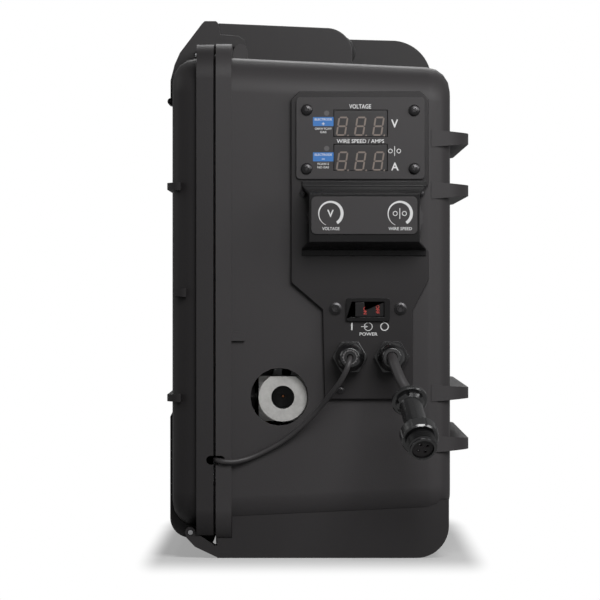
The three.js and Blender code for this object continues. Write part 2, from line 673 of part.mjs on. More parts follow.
function latch(y) {
  const from = y - LATCH_WIDTH / 2;
  const to = y + LATCH_WIDTH / 2;
  const outerX = DOOR_OUTER_X - 3.6;
  const shoulderZ = DOOR_TOP_Z - DOOR_EDGE_R + 4;
  const lipZ = KEEPER_Z + KEEPER_R + SEAT;
  const profile = outline([
    [KEEPER_X + 4, lipZ],
    [KEEPER_X + 3, lipZ + 6],
    [KEEPER_X - 2, lipZ + LATCH_LIP],
    [PARTING_X + 2, lipZ + LATCH_LIP + 1],
    [PARTING_X, TOP_Z - 1.5],
    [PARTING_X - 1.5, TOP_Z],
    [DOOR_PLANE_X - 8.5, TOP_Z],
    [DOOR_PLANE_X - 10.5, TOP_Z - 2],
    [DOOR_OUTER_X + 3.5, TOP_Z - 24],
    [DOOR_OUTER_X - 0.5, TOP_Z - 33],
    [outerX, shoulderZ],
    [outerX, HASP_PIN_Z],
    [DOOR_OUTER_X + 4, HASP_PIN_Z],
    [DOOR_FLANGE_X - 5, KEEPER_Z - 12],
    [BODY_FLANGE_X, KEEPER_Z],
    [BODY_FLANGE_X, lipZ],
  ]);
  const flangeRoom = FLANGE_TOP_Z + FLANGE_ROOM;
  const left = CATCH_X - CATCH_R - 1;
  return cut(
    join(
      prism('y', profile, from, to),
      rod('y', HASP_PIN_X, HASP_PIN_Z, LATCH_BOSS_R, from, to, 6),
      rod('y', HASP_PIN_X, HASP_PIN_Z, HASP_PIN_R, from - RUN - LUG_THICK, to + RUN + LUG_THICK, 4),
    ),
    doorForm(-0.8, PARTING_X).subtract(block(HASP_PIN_X - 5, HASP_PIN_X, from, to, 0, HASP_PIN_Z)),
    block(DOOR_FLANGE_X - 2 * SEAT, BODY_FLANGE_X + RUN, from - 1, to + 1, FLANGE_TOP_Z - 20, flangeRoom),
    block(left, BODY_FLANGE_X, from + LATCH_CHEEK, to - LATCH_CHEEK, FLANGE_TOP_Z - 20, flangeRoom),
    rod('y', CATCH_X, CATCH_Z, CATCH_R + SEAT, from - 1, to + 1, 5),
  );
}

// The pair of ears on the door's face that one latch hinges in.
function haspEars(y) {
  const inner = LATCH_WIDTH / 2 + RUN;
  const reach = LATCH_BOSS_R + 0.2;
  const ears = [-1, 1].map((side) => {
    const from = y + (side > 0 ? inner : -inner - LUG_THICK);
    return join(
      rod('y', HASP_PIN_X, HASP_PIN_Z, reach, from, from + LUG_THICK, 6),
      block(HASP_PIN_X, DOOR_OUTER_X + 1, from, from + LUG_THICK, HASP_PIN_Z - reach, HASP_PIN_Z + reach),
    );
  });
  const bore = rod('y', HASP_PIN_X, HASP_PIN_Z, HASP_PIN_R + SEAT, y - 30, y + 30, 6);
  return ears.map((ear) => cut(ear, bore));
}

for (const [name, y] of [
  ['front', -LATCH_Y],
  ['rear', LATCH_Y],
]) {
  place(`${name}_latch`, latch(y), FINISH.satin);
  const half = LATCH_WIDTH / 2 - 0.2;
  place(`${name}_latch_pin`, rod('y', CATCH_X, CATCH_Z, CATCH_R, y - half, y + half, 5), FINISH.steel);
}

// ---------------------------------------------------------------- door
const HINGE_NOTCH = HINGE_ARM_WIDTH + 2;
const RAIL_HALF = (HINGE_ARM_SPACING - HINGE_NOTCH) / 2;
const HINGE_PIN_HALF = (HINGE_ARM_SPACING + HINGE_ARM_WIDTH) / 2 - 1;

function hingeNotches(x0, x1, topZ) {
  return [-1, 1].map((side) => {
    const y = (side * HINGE_ARM_SPACING) / 2;
    return block(x0, x1, y - HINGE_NOTCH / 2, y + HINGE_NOTCH / 2, -5, topZ);
  });
}

function doorRibs() {
  const rootX = DOOR_FLANGE_X - 0.5;
  const reach = HALF_DEPTH + DOOR_RIB_PROUD_Y;
  return DOOR_RIB_Z.map((z, i) => {
    const outX = i === 1 ? DOOR_OUTER_X + 0.5 : DOOR_OUTER_X - DOOR_RIB_OUT;
    const plan = ribPlan(rootX, outX, reach, 10);
    return rib(plan, z, rootX, outX, DOOR_RIB_HEIGHT, DOOR_RIB_HEIGHT - 2.5);
  });
}

// Takes the inner lower edge off whatever swings past the body's flange.
function swingRelief() {
  const corner = block(HINGE_X + 8, PARTING_X + 2, -HALF_DEPTH - 10, HALF_DEPTH + 10, -5, HINGE_Z);
  const swing = PARTING_X - HINGE_X - RUN;
  return cut(corner, rod('y', HINGE_X, HINGE_Z, swing, -HALF_DEPTH - 20, HALF_DEPTH + 20, 24));
}

const door = cut(
  join(
    doorForm(0, DOOR_FLANGE_X + 1),
    flangePlate(DOOR_FLANGE_X, DOOR_PLANE_X, 0.5),
    doorRibs(),
    haspEars(-LATCH_Y),
    haspEars(LATCH_Y),
  ),
  doorForm(CASE_WALL, DOOR_PLANE_X + 1),
  cableSlot,
  hingeNotches(DOOR_FLANGE_X - 1, DOOR_PLANE_X + 1, HINGE_Z + HINGE_BOSS_R + RUN),
  swingRelief(),
);
place('door_shell', door, FINISH.grained);

const gasket = cut(
  flangePlate(DOOR_PLANE_X + SEAT, PARTING_X - SEAT, GASKET_INSET + 1),
  flangePlate(DOOR_PLANE_X - 1, PARTING_X + 1, GASKET_INSET + 1 + GASKET_WIDTH),
  cableSlot,
);
place('door_gasket', gasket, FINISH.rubber);

// The moulded rail along the door's lower edge holds the hinge rod between the skid's arms.
function hingeRail() {
  const outerX = DOOR_OUTER_X - 2;
  const rightX = DOOR_FLANGE_X - SEAT;
  const bottom = HINGE_Z - 5;
  const bend = 15;
  const profile = new THREE.Shape();
  profile.moveTo(rightX, bottom);
  profile.lineTo(rightX, DOOR_BOTTOM_Z + 8);
  profile.lineTo(DOOR_OUTER_X + 8, DOOR_BOTTOM_Z + 12);
  profile.lineTo(DOOR_OUTER_X + 8, 104);
  profile.lineTo(DOOR_OUTER_X, 108);
  profile.lineTo(outerX, 104);
  profile.lineTo(outerX, bottom + bend);
  profile.absarc(outerX + bend, bottom + bend, bend, Math.PI, 1.5 * Math.PI);
  return cut(
    prism('y', profile, -RAIL_HALF, RAIL_HALF, 6),
    doorForm(-SEAT, PARTING_X),
    rod('y', HINGE_X, HINGE_Z, HINGE_PIN_R + SEAT, -RAIL_HALF - 1, RAIL_HALF + 1, 8),
  );
}
place('door_hinge_rail', hingeRail(), FINISH.satin);
place('hinge_pin', rod('y', HINGE_X, HINGE_Z, HINGE_PIN_R, -HINGE_PIN_HALF, HINGE_PIN_HALF), FINISH.steel);

// ---------------------------------------------------------------- front panel
const PANEL_NECK_X = 79;
const PANEL_FOOT_LEFT_X = 8.5;
const PANEL_FOOT_RIGHT_X = 73.6;
const potHoles = (radius, from, to) => KNOB_X.map((x) => rod('y', x, KNOB_Z, radius, from, to, 6));

function displayWindows(margin, from, to) {
  const halfWidth = DISPLAY_WIDTH / 2 + margin;
  const halfHeight = DISPLAY_HEIGHT / 2 + margin;
  return DISPLAY_Z.map((z) =>
    block(DISPLAY_X - halfWidth, DISPLAY_X + halfWidth, from, to, z - halfHeight, z + halfHeight),
  );
}

function frontPanel() {
  const bevel = 6;
  const shape = outline([
    [PANEL_LEFT_X, PANEL_TOP_Z - bevel],
    [PANEL_LEFT_X, KNOB_Z - GUARD_BOX_HEIGHT],
    [PANEL_FOOT_LEFT_X - 1.5, SWITCH_Z],
    [PANEL_FOOT_LEFT_X, PANEL_BOTTOM_Z],
    [PANEL_FOOT_RIGHT_X, PANEL_BOTTOM_Z],
    [PANEL_FOOT_RIGHT_X, SWITCH_Z],
    [PANEL_RIGHT_X, KNOB_Z - GUARD_BOX_HEIGHT + 2],
    [PANEL_RIGHT_X, KNOB_Z - GUARD_BOX_HEIGHT / 2],
    [PANEL_NECK_X, KNOB_Z - GUARD_BOX_HEIGHT / 2 + bevel],
    [PANEL_NECK_X, PLATE_BOTTOM_Z - bevel - 4],
    [PANEL_RIGHT_X, PLATE_BOTTOM_Z - 4],
    [PANEL_RIGHT_X, PANEL_TOP_Z - bevel],
    [PANEL_RIGHT_X - bevel, PANEL_TOP_Z],
    [PANEL_LEFT_X + bevel, PANEL_TOP_Z],
  ]);
  const switchHole = block(
    SWITCH_X - SWITCH_WIDTH / 2 + 3,
    SWITCH_X + SWITCH_WIDTH / 2 - 3,
    PANEL_FRONT_Y - 1,
    FRONT_Y,
    SWITCH_Z - SWITCH_HEIGHT / 2 + 1.5,
    SWITCH_Z + SWITCH_HEIGHT / 2 - 1.5,
  );
  return cut(
    prism('y', shape, PANEL_FRONT_Y, PANEL_BACK_Y),
    displayWindows(SEAT, PANEL_FRONT_Y - 1, FRONT_Y),
    potHoles(POT_BUSH_R + SEAT, PANEL_FRONT_Y - 1, FRONT_Y),
    switchHole,
    GLAND_X.map((x) => rod('y', x, GLAND_Z, GLAND_SHANK_R + SEAT, PANEL_FRONT_Y - 1, FRONT_Y, 10)),
  );
}
place('front_panel', frontPanel(), FINISH.coated);

const PLATE_FRONT_Y = PANEL_FRONT_Y - SEAT - PLATE_THICK;
function meterPlate() {
  const shape = roundedRect(PANEL_LEFT_X + 3.7, PANEL_RIGHT_X - 3, PLATE_BOTTOM_Z, PANEL_TOP_Z - 4.5, 3);
  return cut(
    prism('y', shape, PLATE_FRONT_Y, PANEL_FRONT_Y - SEAT, 3),
    displayWindows(0, PLATE_FRONT_Y - 1, PANEL_FRONT_Y),
  );
}
place('meter_faceplate', meterPlate(), FINISH.satin);

// The display board stands behind the panel with its two tinted blocks in the windows.
const DISPLAY_BACK_Y = FRONT_Y + CASE_WALL + 12;
const displayModule = join(
  block(
    DISPLAY_X - DISPLAY_WIDTH / 2 - 6,
    DISPLAY_X + DISPLAY_WIDTH / 2 + 6,
    PANEL_BACK_Y + SEAT,
    DISPLAY_BACK_Y,
    DISPLAY_Z[0] - DISPLAY_HEIGHT / 2 - 4,
    DISPLAY_Z[1] + DISPLAY_HEIGHT / 2 + 3,
  ),
  displayWindows(-SEAT, PLATE_FRONT_Y + 1, PANEL_BACK_Y + 1),
);
place('display_module', displayModule, FINISH.lens);

// Bent-sheet guard in front of the two knobs, open at its sides.
const BOX_BACK_Y = PANEL_FRONT_Y - SEAT;
const BOX_FRONT_Y = BOX_BACK_Y - GUARD_BOX_DEPTH;
const BOX_CENTRE_X = 37.4;
const BOX_BACK_WIDTH = 92;
const BOX_FRONT_WIDTH = 80.8;

function knobGuard() {
  const back = GUARD_BOX_HEIGHT / 2;
  const front = GUARD_BOX_FRONT_HEIGHT / 2;
  const lip = 4;
  const half = [
    [BOX_BACK_Y, back + lip],
    [BOX_BACK_Y - SHEET, back + lip],
    [BOX_BACK_Y - SHEET, back],
    [BOX_FRONT_Y, front],
  ];
  const inside = [
    [BOX_FRONT_Y + SHEET, front - SHEET],
    [BOX_BACK_Y, back - SHEET],
  ];
  const upper = half.map(([y, z]) => [y, KNOB_Z + z]);
  const lower = half.map(([y, z]) => [y, KNOB_Z - z]).reverse();
  const innerLower = inside.map(([y, z]) => [y, KNOB_Z - z]).reverse();
  const innerUpper = inside.map(([y, z]) => [y, KNOB_Z + z]);
  const bend = outline([...upper, ...lower, ...innerLower, ...innerUpper]);
  const width = outline([
    [BOX_CENTRE_X - BOX_BACK_WIDTH / 2, BOX_BACK_Y],
    [BOX_CENTRE_X - BOX_FRONT_WIDTH / 2, BOX_FRONT_Y],
    [BOX_CENTRE_X + BOX_FRONT_WIDTH / 2, BOX_FRONT_Y],
    [BOX_CENTRE_X + BOX_BACK_WIDTH / 2, BOX_BACK_Y],
  ]);
  const strip = prism('x', bend, BOX_CENTRE_X - BOX_BACK_WIDTH, BOX_CENTRE_X + BOX_BACK_WIDTH);
  return strip.intersect(prism('z', width, KNOB_Z - 2 * back, KNOB_Z + 2 * back));
}
place('knob_guard', knobGuard(), FINISH.gloss);

const legend = prism(
  'y',
  roundedRect(
    BOX_CENTRE_X - BOX_FRONT_WIDTH / 2 + 1.5,
    BOX_CENTRE_X + BOX_FRONT_WIDTH / 2 - 1.5,
    KNOB_Z - 12,
    KNOB_Z + 15.5,
    LEGEND_CORNER_R,
  ),
  BOX_FRONT_Y - SEAT - 1,
  BOX_FRONT_Y - SEAT,
  3,
);
place('legend_plate', legend, FINISH.satin);

// Fluted knobs on the potentiometers' shafts.
function knob(x) {
  const shape = new THREE.Shape();
  const steps = KNOB_FLUTES * 2;
  for (let i = 0; i < steps; i++) {
    const angle = (2 * Math.PI * i) / steps;
    const radius = i % 2 ? KNOB_R : KNOB_R - 1;
    const point = [x + radius * Math.cos(angle), KNOB_Z + radius * Math.sin(angle)];
    if (i === 0) shape.moveTo(...point);
    else shape.lineTo(...point);
  }
  shape.closePath();
  const back = BOX_BACK_Y - 2;
  return cut(
    join(prism('y', shape, back - KNOB_DEPTH, back), rod('y', x, KNOB_Z, 6, back - KNOB_DEPTH - 2, back)),
    rod('y', x, KNOB_Z, POT_SHAFT_R + SEAT, back - KNOB_DEPTH + 4, back + 1, 6),
    block(x - 1, x + 1, back - KNOB_DEPTH - 3, back - KNOB_DEPTH + 0.8, KNOB_Z + 7, KNOB_Z + KNOB_R + 1),
  );
}

function potentiometer(x) {
  const caseBack = PANEL_BACK_Y + SEAT;
  return join(
    rod('y', x, KNOB_Z, 9, caseBack, caseBack + 16, 8),
    rod('y', x, KNOB_Z, POT_BUSH_R, PANEL_FRONT_Y - 1.5, caseBack + 1, 6),
    rod('y', x, KNOB_Z, POT_SHAFT_R, BOX_BACK_Y - KNOB_DEPTH + 3, caseBack + 1, 6),
  );
}
['voltage', 'wire_speed'].forEach((name, i) => {
  place(`${name}_knob`, knob(KNOB_X[i]), FINISH.satin);
  place(`${name}_potentiometer`, potentiometer(KNOB_X[i]), FINISH.steel);
});

// Rocker switch: a bezel and body through the panel, and the rocker on a pivot along Z.
const BEZEL_FRONT_Y = PANEL_FRONT_Y - SEAT - 2.5;
const ROCKER_PIVOT_Y = PANEL_FRONT_Y + 3;
function switchBody() {
  const halfWidth = SWITCH_WIDTH / 2;
  const halfHeight = SWITCH_HEIGHT / 2;
  const bezelShape = roundedRect(SWITCH_X - halfWidth, SWITCH_X + halfWidth, SWITCH_Z - halfHeight, SWITCH_Z + halfHeight, 2);
  const bezel = prism('y', bezelShape, BEZEL_FRONT_Y, PANEL_FRONT_Y - SEAT, 3);
  const housing = block(
    SWITCH_X - halfWidth + 3 + SEAT,
    SWITCH_X + halfWidth - 3 - SEAT,
    PANEL_FRONT_Y - 1,
    FRONT_Y + 22,
    SWITCH_Z - halfHeight + 1.5 + SEAT,
    SWITCH_Z + halfHeight - 1.5 - SEAT,
  );
  const well = block(
    SWITCH_X - ROCKER_WIDTH / 2 - 1.3,
    SWITCH_X + ROCKER_WIDTH / 2 + 1.3,
    BEZEL_FRONT_Y - 1,
    ROCKER_PIVOT_Y + 6.5,
    SWITCH_Z - ROCKER_HEIGHT / 2 - SEAT,
    SWITCH_Z + ROCKER_HEIGHT / 2 + SEAT,
  );
  return cut(join(bezel, housing), well);
}
place('power_switch_body', switchBody(), FINISH.gloss);

function rocker() {
  const half = ROCKER_WIDTH / 2;
  const shape = outline([
    [-half, -6.5],
    [0, -4.6],
    [half, -6.5],
    [half - 0.5, 0],
    [3, 3],
    [-3, 3],
    [0.5 - half, 0],
  ]);
  const turned = new THREE.Group();
  turned.position.set(SWITCH_X, ROCKER_PIVOT_Y, SWITCH_Z);
  turned.rotation.z = ROCKER_TILT;
  feeder.add(turned);
  place('power_rocker', prism('z', shape, -ROCKER_HEIGHT / 2, ROCKER_HEIGHT / 2), FINISH.red, turned);
}
rocker();

// ---------------------------------------------------------------- cable glands
const HEX_FRONT_Y = PANEL_FRONT_Y - SEAT - GLAND_HEX_LENGTH;
const NUT_FRONT_Y = HEX_FRONT_Y - SEAT - GLAND_NUT_LENGTH;
const GLAND_END_Y = FRONT_Y + CASE_WALL + 12;

function hexagon(x, z, radius) {
  const points = [];
  for (let i = 0; i < 6; i++) {
    const angle = (Math.PI / 3) * i;
    points.push([x + radius * Math.cos(angle), z + radius * Math.sin(angle)]);
  }
  return outline(points);
}

function glandBody(x, cableR) {
  const neck = GLAND_SHANK_R - 1;
  return cut(
    join(
      prism('y', hexagon(x, GLAND_Z, GLAND_HEX_R), HEX_FRONT_Y, PANEL_FRONT_Y - SEAT),
      rod('y', x, GLAND_Z, GLAND_SHANK_R, PANEL_FRONT_Y - 1, GLAND_END_Y, 8),
      rod('y', x, GLAND_Z, neck, HEX_FRONT_Y - 10, HEX_FRONT_Y + 1, 8),
    ),
    rod('y', x, GLAND_Z, cableR + SEAT, HEX_FRONT_Y - 20, GLAND_END_Y + 1, 6),
  );
}

// The dome nut screws over the gland's neck and closes round the cable.
function glandNut(x, cableR) {
  const back = HEX_FRONT_Y - SEAT;
  const front = NUT_FRONT_Y;
  const bore = cableR + SEAT;
  const neck = GLAND_SHANK_R - 1 + SEAT;
  const profile = [
    [neck, back],
    [GLAND_NUT_R, back],
    [GLAND_NUT_R, back - 10],
    [GLAND_NUT_R - 0.8, front + 6],
    [GLAND_NUT_R - 2.6, front + 2],
    [GLAND_NUT_R - 4.2, front],
    [bore, front],
    [bore, back - 11],
    [neck, back - 11],
    [neck, back],
  ];
  return lathe('y', profile, x, GLAND_Z, 14);
}
['sense', 'trigger'].forEach((name, i) => {
  const cableR = [SENSE_R, TRIGGER_R][i];
  place(`${name}_gland`, glandBody(GLAND_X[i], cableR), FINISH.satin);
  place(`${name}_gland_nut`, glandNut(GLAND_X[i], cableR), FINISH.satin);
});

// ---------------------------------------------------------------- cables
// The voltage sensing lead leaves its gland, crosses the front and enters the case by the slot.
const senseRoute = [
  [GLAND_X[0], NUT_FRONT_Y + 6, GLAND_Z],
  [GLAND_X[0], NUT_FRONT_Y - 3, GLAND_Z - 0.5],
  [25.5, -296, 142],
  [19.3, -291, 130],
  [9.6, -279, 117.5],
  [1.5, -271, 107.8],
  [-9.6, -266.5, 97],
  [-20.4, -263, 88],
  [-34.1, -261.4, 80],
  [-46, -261.2, 74.5],
  [-56, -263.6, 71.6],
  [-64, -265.9, 71.3],
  [-69.6, -265.8, 72.2],
  [-72.4, -261.5, 72.6],
  [-72.4, -252, 72.6],
  [-72.2, -243, 74],
  [-71, -235, 77],
  [COIL_LEFT_X - SENSE_R - SEAT, -228, 80.5],
];
place('sense_cable', tube(senseRoute, SENSE_R, 8, 36), FINISH.rubber);

// The coil's turns as one ring, and the spring clip that lies on it.
function senseCoil() {
  const inner = COIL_R - COIL_HALF_DEPTH;
  const outer = COIL_R + COIL_HALF_DEPTH;
  const right = COIL_X + COIL_HALF_WIDTH;
  const round = COIL_PITCH / 2;
  const section = [
    [inner, COIL_LEFT_X + round],
    [inner + round, COIL_LEFT_X],
    [outer - round, COIL_LEFT_X],
    [outer, COIL_LEFT_X + round],
    [outer, right - round],
    [outer - round, right],
    [inner + round, right],
    [inner, right - round],
    [inner, COIL_LEFT_X + round],
  ];
  const half = [
    [0.11, 0],
    [0.16, 0],
    [0.19, 0.05],
    [0.12, 0.35],
    [0.13, 0.45],
    [0.09, 0.65],
    [0.03, 1],
  ];
  const clipY = COIL_Y - CLIP_OFFSET;
  const tailZ = COIL_Z - CLIP_LENGTH / 2;
  const side = (sign) => half.map(([v, u]) => [clipY + sign * v * CLIP_LENGTH, tailZ + u * CLIP_LENGTH]);
  const clip = outline([...side(1), ...side(-1).reverse(), [clipY, tailZ + 0.3 * CLIP_LENGTH]]);
  return join(
    lathe('x', section, COIL_Y, COIL_Z, 20),
    prism('x', clip, COIL_LEFT_X - CLIP_THICK, COIL_LEFT_X + 0.2),
  );
}
place('sense_cable_coil', senseCoil(), FINISH.rubber);

// The gun trigger lead ends in an in-line socket that hangs in front of the case.
const PLUG_BACK = new THREE.Vector3(69, -321, 121.5);
const PLUG_FACE = new THREE.Vector3(79, -371, 83.5);
const triggerRoute = [
  [GLAND_X[1], NUT_FRONT_Y + 6, GLAND_Z],
  [GLAND_X[1], NUT_FRONT_Y - 2, GLAND_Z - 0.3],
  [58.7, -300.5, 145.5],
  [61, -306, 139.5],
  [64, -311.5, 132.5],
  PLUG_BACK.clone().lerp(PLUG_FACE, -0.1).toArray(),
  PLUG_BACK.clone().lerp(PLUG_FACE, 0.06).toArray(),
];
place('trigger_cable', tube(triggerRoute, TRIGGER_R, 8, 12), FINISH.rubber);

// The socket is built along its own axis, from its strain relief at 0 to its face, then turned.
const PLUG_LENGTH = PLUG_BACK.distanceTo(PLUG_FACE);
const PLUG_R = 10.5;
const plug = new THREE.Group();
plug.position.copy(PLUG_BACK);
plug.quaternion.setFromUnitVectors(Z, PLUG_FACE.clone().sub(PLUG_BACK).normalize());
feeder.add(plug);

function plugShell() {
  const bore = TRIGGER_R + SEAT;
  const mouth = PLUG_LENGTH - 14;
  const profile = [
    [bore, 0],
    [PLUG_R - 2, 0],
    [PLUG_R, 3],
    [PLUG_R, 10],
    [PLUG_R - 2, 12],
    [PLUG_R - 2, mouth - 14],
    [PLUG_R - 0.8, mouth - 10],
    [PLUG_R - 0.8, PLUG_LENGTH],
    [PLUG_R - 2.3, PLUG_LENGTH],
    [PLUG_R - 2.3, mouth],
    [bore, mouth],
    [bore, 0],
  ];
  const flutes = [];
  const count = 6;
  for (let i = 0; i < count; i++) {
    const angle = (2 * Math.PI * i) / count;
    flutes.push(rod('z', PLUG_R * Math.cos(angle), PLUG_R * Math.sin(angle), 1.6, 3, mouth - 14, 3));
  }
  return cut(lathe('z', profile, 0, 0, 16), flutes);
}
place('trigger_socket_shell', plugShell(), FINISH.satin, plug);

function couplingRing() {
  const outer = PLUG_R + 3.5;
  const inner = PLUG_R - 0.8 + SEAT;
  const from = PLUG_LENGTH - 22;
  const to = PLUG_LENGTH - 11;
  const profile = [
    [inner, from],
    [outer - 1, from],
    [outer, from + 1.5],
    [outer, to - 1.5],
    [outer - 1, to],
    [inner, to],
    [inner, from],
  ];
  const grips = [];
  const count = 8;
  for (let i = 0; i < count; i++) {
    const angle = (2 * Math.PI * i) / count;
    const reach = outer + 0.6;
    grips.push(rod('z', reach * Math.cos(angle), reach * Math.sin(angle), 1.5, from - 1, to + 1, 3));
  }
  return cut(lathe('z', profile, 0, 0, 16), grips);
}
place('trigger_socket_ring', couplingRing(), FINISH.satin, plug);

function contactInsert() {
  const radius = PLUG_R - 2.3 - SEAT;
  const from = PLUG_LENGTH - 14 + SEAT;
  const holes = [];
  const count = 4;
  for (let i = 0; i < count; i++) {
    const angle = (2 * Math.PI * (i + 0.5)) / count;
    holes.push(rod('z', 3.8 * Math.cos(angle), 3.8 * Math.sin(angle), 1.2, from + 3, PLUG_LENGTH, 3));
  }
  return cut(rod('z', 0, 0, radius, from, PLUG_LENGTH - 1.5, 10), holes);
}
place('trigger_socket_insert', contactInsert(), FINISH.rubber, plug);

// ---------------------------------------------------------------- gun receiver
const RECEIVER_FRONT_Y = FRONT_Y + 8;
const RECEIVER_BACK_Y = RECEIVER_FRONT_Y + RECEIVER_LENGTH - 5;
const GUIDE_BORE_R = WIRE_R + 0.6;
const SCREW_R = 3;
const CLAMP_Y = RECEIVER_BACK_Y - 20;
const RECEIVER_LEFT_X = WIRE_X - RECEIVER_R;

function gunReceiver() {
  const noseEnd = RECEIVER_FRONT_Y + RECEIVER_NOSE;
  const flat = WIRE_Z + RECEIVER_FLAT_Z;
  const bodyOf = join(
    rod('y', WIRE_X, WIRE_Z, RECEIVER_R, RECEIVER_FRONT_Y, noseEnd + 1, 14),
    block(RECEIVER_LEFT_X, PLATE_X - SEAT, noseEnd, RECEIVER_BACK_Y, WIRE_Z - RECEIVER_R, flat),
    rod('y', WIRE_X, WIRE_Z, 3.2, RECEIVER_BACK_Y - 1, RECEIVER_BACK_Y + 18, 6),
  );
  return cut(
    bodyOf,
    block(RECEIVER_LEFT_X - 1, PLATE_X, RECEIVER_FRONT_Y - 1, noseEnd + 2, flat, flat + 9),
    rod('y', WIRE_X, WIRE_Z, RECEIVER_BORE_R, RECEIVER_FRONT_Y - 1, RECEIVER_BACK_Y - 9, 12),
    rod('y', WIRE_X, WIRE_Z, GUIDE_BORE_R, RECEIVER_FRONT_Y, RECEIVER_BACK_Y + 19, 5),
    rod('x', CLAMP_Y, WIRE_Z, SCREW_R + SEAT, RECEIVER_LEFT_X - 1, WIRE_X - RECEIVER_BORE_R - 0.5, 6),
  );
}
place('gun_receiver', gunReceiver(), FINISH.aluminium);

// The outline of a hand knob with round lobes.
function lobedShape(a, b, radius, lobes) {
  const shape = new THREE.Shape();
  const steps = lobes * 4;
  for (let i = 0; i < steps; i++) {
    const angle = (2 * Math.PI * i) / steps;
    const reach = radius - 1.4 * (1 - Math.cos(lobes * angle)) / 2;
    const point = [a + reach * Math.cos(angle), b + reach * Math.sin(angle)];
    if (i === 0) shape.moveTo(...point);
    else shape.lineTo(...point);
  }
  shape.closePath();
  return shape;
}
const clampKnob = join(
  prism('x', lobedShape(CLAMP_Y, WIRE_Z, 11, 6), RECEIVER_LEFT_X - 15, RECEIVER_LEFT_X - 3),
  rod('x', CLAMP_Y, WIRE_Z, 5.5, RECEIVER_LEFT_X - 4, RECEIVER_LEFT_X - SEAT, 6),
  rod('x', CLAMP_Y, WIRE_Z, SCREW_R, RECEIVER_LEFT_X - 4, WIRE_X - RECEIVER_BORE_R - 1.5, 6),
);
place('gun_clamp_knob', clampKnob, FINISH.satin);

// ---------------------------------------------------------------- divider and wire drive
const DIVIDER_FRONT_Y = FRONT_Y + 26;
const HOSE_R = 4;
const HOSE_Y = RECEIVER_BACK_Y - 8;
const HOSE_Z = WIRE_Z + 9;
const ROLL_Y = [DRIVE_Y - ROLL_SPACING / 2, DRIVE_Y + ROLL_SPACING / 2];
const LOWER_Z = WIRE_Z - ROLL_PITCH_R;
const UPPER_Z = WIRE_Z + ROLL_PITCH_R;
const PINION_REACH = ROLL_PITCH_R + PINION_PITCH_R;
const PINION_Z = LOWER_Z - Math.sqrt(PINION_REACH ** 2 - (ROLL_SPACING / 2) ** 2);
const hoseHole = rod('x', HOSE_Y, HOSE_Z, HOSE_R + 1, PLATE_X - 1, DIVIDER_X + SHEET + 1, 6);
const shaftHole = rod('x', DRIVE_Y, PINION_Z, ROLL_SHAFT_R + RUN, PLATE_X - 1, DIVIDER_X + SHEET + 1, 8);

const divider = cut(
  bodyForm(CASE_WALL + SEAT, PARTING_X).intersect(
    block(DIVIDER_X, DIVIDER_X + SHEET, DIVIDER_FRONT_Y, HALF_DEPTH, 0, BODY_TOP_Z),
  ),
  hoseHole,
  shaftHole,
);
place('divider_panel', divider, FINISH.steel);

const ARM_PIVOT_Y = ROLL_Y[1] + 28;
const ARM_PIVOT_Z = UPPER_Z + 13;
const ARM_PIVOT_R = 4;
const TENSION_Y = ROLL_Y[0] - 27;
const TENSION_X = WIRE_X + 2.5;
const ARM_X = WIRE_X - ROLL_WIDTH / 2 - 3; // inner face of the arm's cheek
const GEAR_X = PLATE_X - 3.3;
const ROLL_LEFT_X = WIRE_X - ROLL_WIDTH / 2;

function drivePlate() {
  const shape = roundedRect(DIVIDER_FRONT_Y, ARM_PIVOT_Y + 18, PINION_Z - 24, ARM_PIVOT_Z + 24, 8);
  const back = DIVIDER_X - SEAT;
  const shafts = ROLL_Y.map((y) => [
    rod('x', y, LOWER_Z, ROLL_SHAFT_R + 3, GEAR_X + RUN, PLATE_X + 1, 8),
    rod('x', y, LOWER_Z, ROLL_SHAFT_R, ROLL_LEFT_X - 4, PLATE_X + 1, 8),
    rod('x', y, LOWER_Z, ROLL_SHAFT_R + 4, ROLL_LEFT_X - 4, ROLL_LEFT_X - RUN, 8),
  ]);
  const forkFloor = UPPER_Z - 8;
  const forkTop = UPPER_Z + 8;
  const slot = SCREW_R + RUN;
  return cut(
    join(
      prism('x', shape, PLATE_X, back, 4),
      shafts.flat(),
      rod('x', ARM_PIVOT_Y, ARM_PIVOT_Z, ARM_PIVOT_R, ARM_X - ARM_THICK, PLATE_X + 1, 8),
      block(TENSION_X - slot - 6, PLATE_X + 1, TENSION_Y - 6, TENSION_Y + 6, forkFloor, forkTop),
    ),
    block(TENSION_X - slot, TENSION_X + slot, TENSION_Y - 7, TENSION_Y + 7, forkFloor + 5, forkTop + 1),
    hoseHole,
    shaftHole,
  );
}
place('drive_plate', drivePlate(), FINISH.aluminium);

// A gear's outline with straight-flanked teeth; one tooth points along phase.
function gearShape(a, b, teeth, phase) {
  const pitchR = (MODULE * teeth) / 2;
  const half = Math.PI / (2 * teeth) - BACKLASH / (2 * pitchR);
  const tipR = pitchR + 0.9 * MODULE;
  const rootR = pitchR - 1.1 * MODULE;
  const shape = new THREE.Shape();
  for (let tooth = 0; tooth < teeth; tooth++) {
    const centre = phase + (2 * Math.PI * tooth) / teeth;
    for (const [side, radius, share] of [
      [-1, rootR, 1.45],
      [-1, tipR, 0.5],
      [1, tipR, 0.5],
      [1, rootR, 1.45],
    ]) {
      const angle = centre + side * half * share;
      const point = [a + radius * Math.cos(angle), b + radius * Math.sin(angle)];
      if (tooth === 0 && side === -1 && radius === rootR) shape.moveTo(...point);
      else shape.lineTo(...point);
    }
  }
  shape.closePath();
  return shape;
}

// The phase that puts a gear in mesh with one whose phase is known, lying along direction.
function meshPhase(phase, teeth, direction, otherTeeth) {
  const pitches = (direction - phase) / ((2 * Math.PI) / teeth);
  return direction + Math.PI + ((pitches + 0.5) * 2 * Math.PI) / otherTeeth;
}

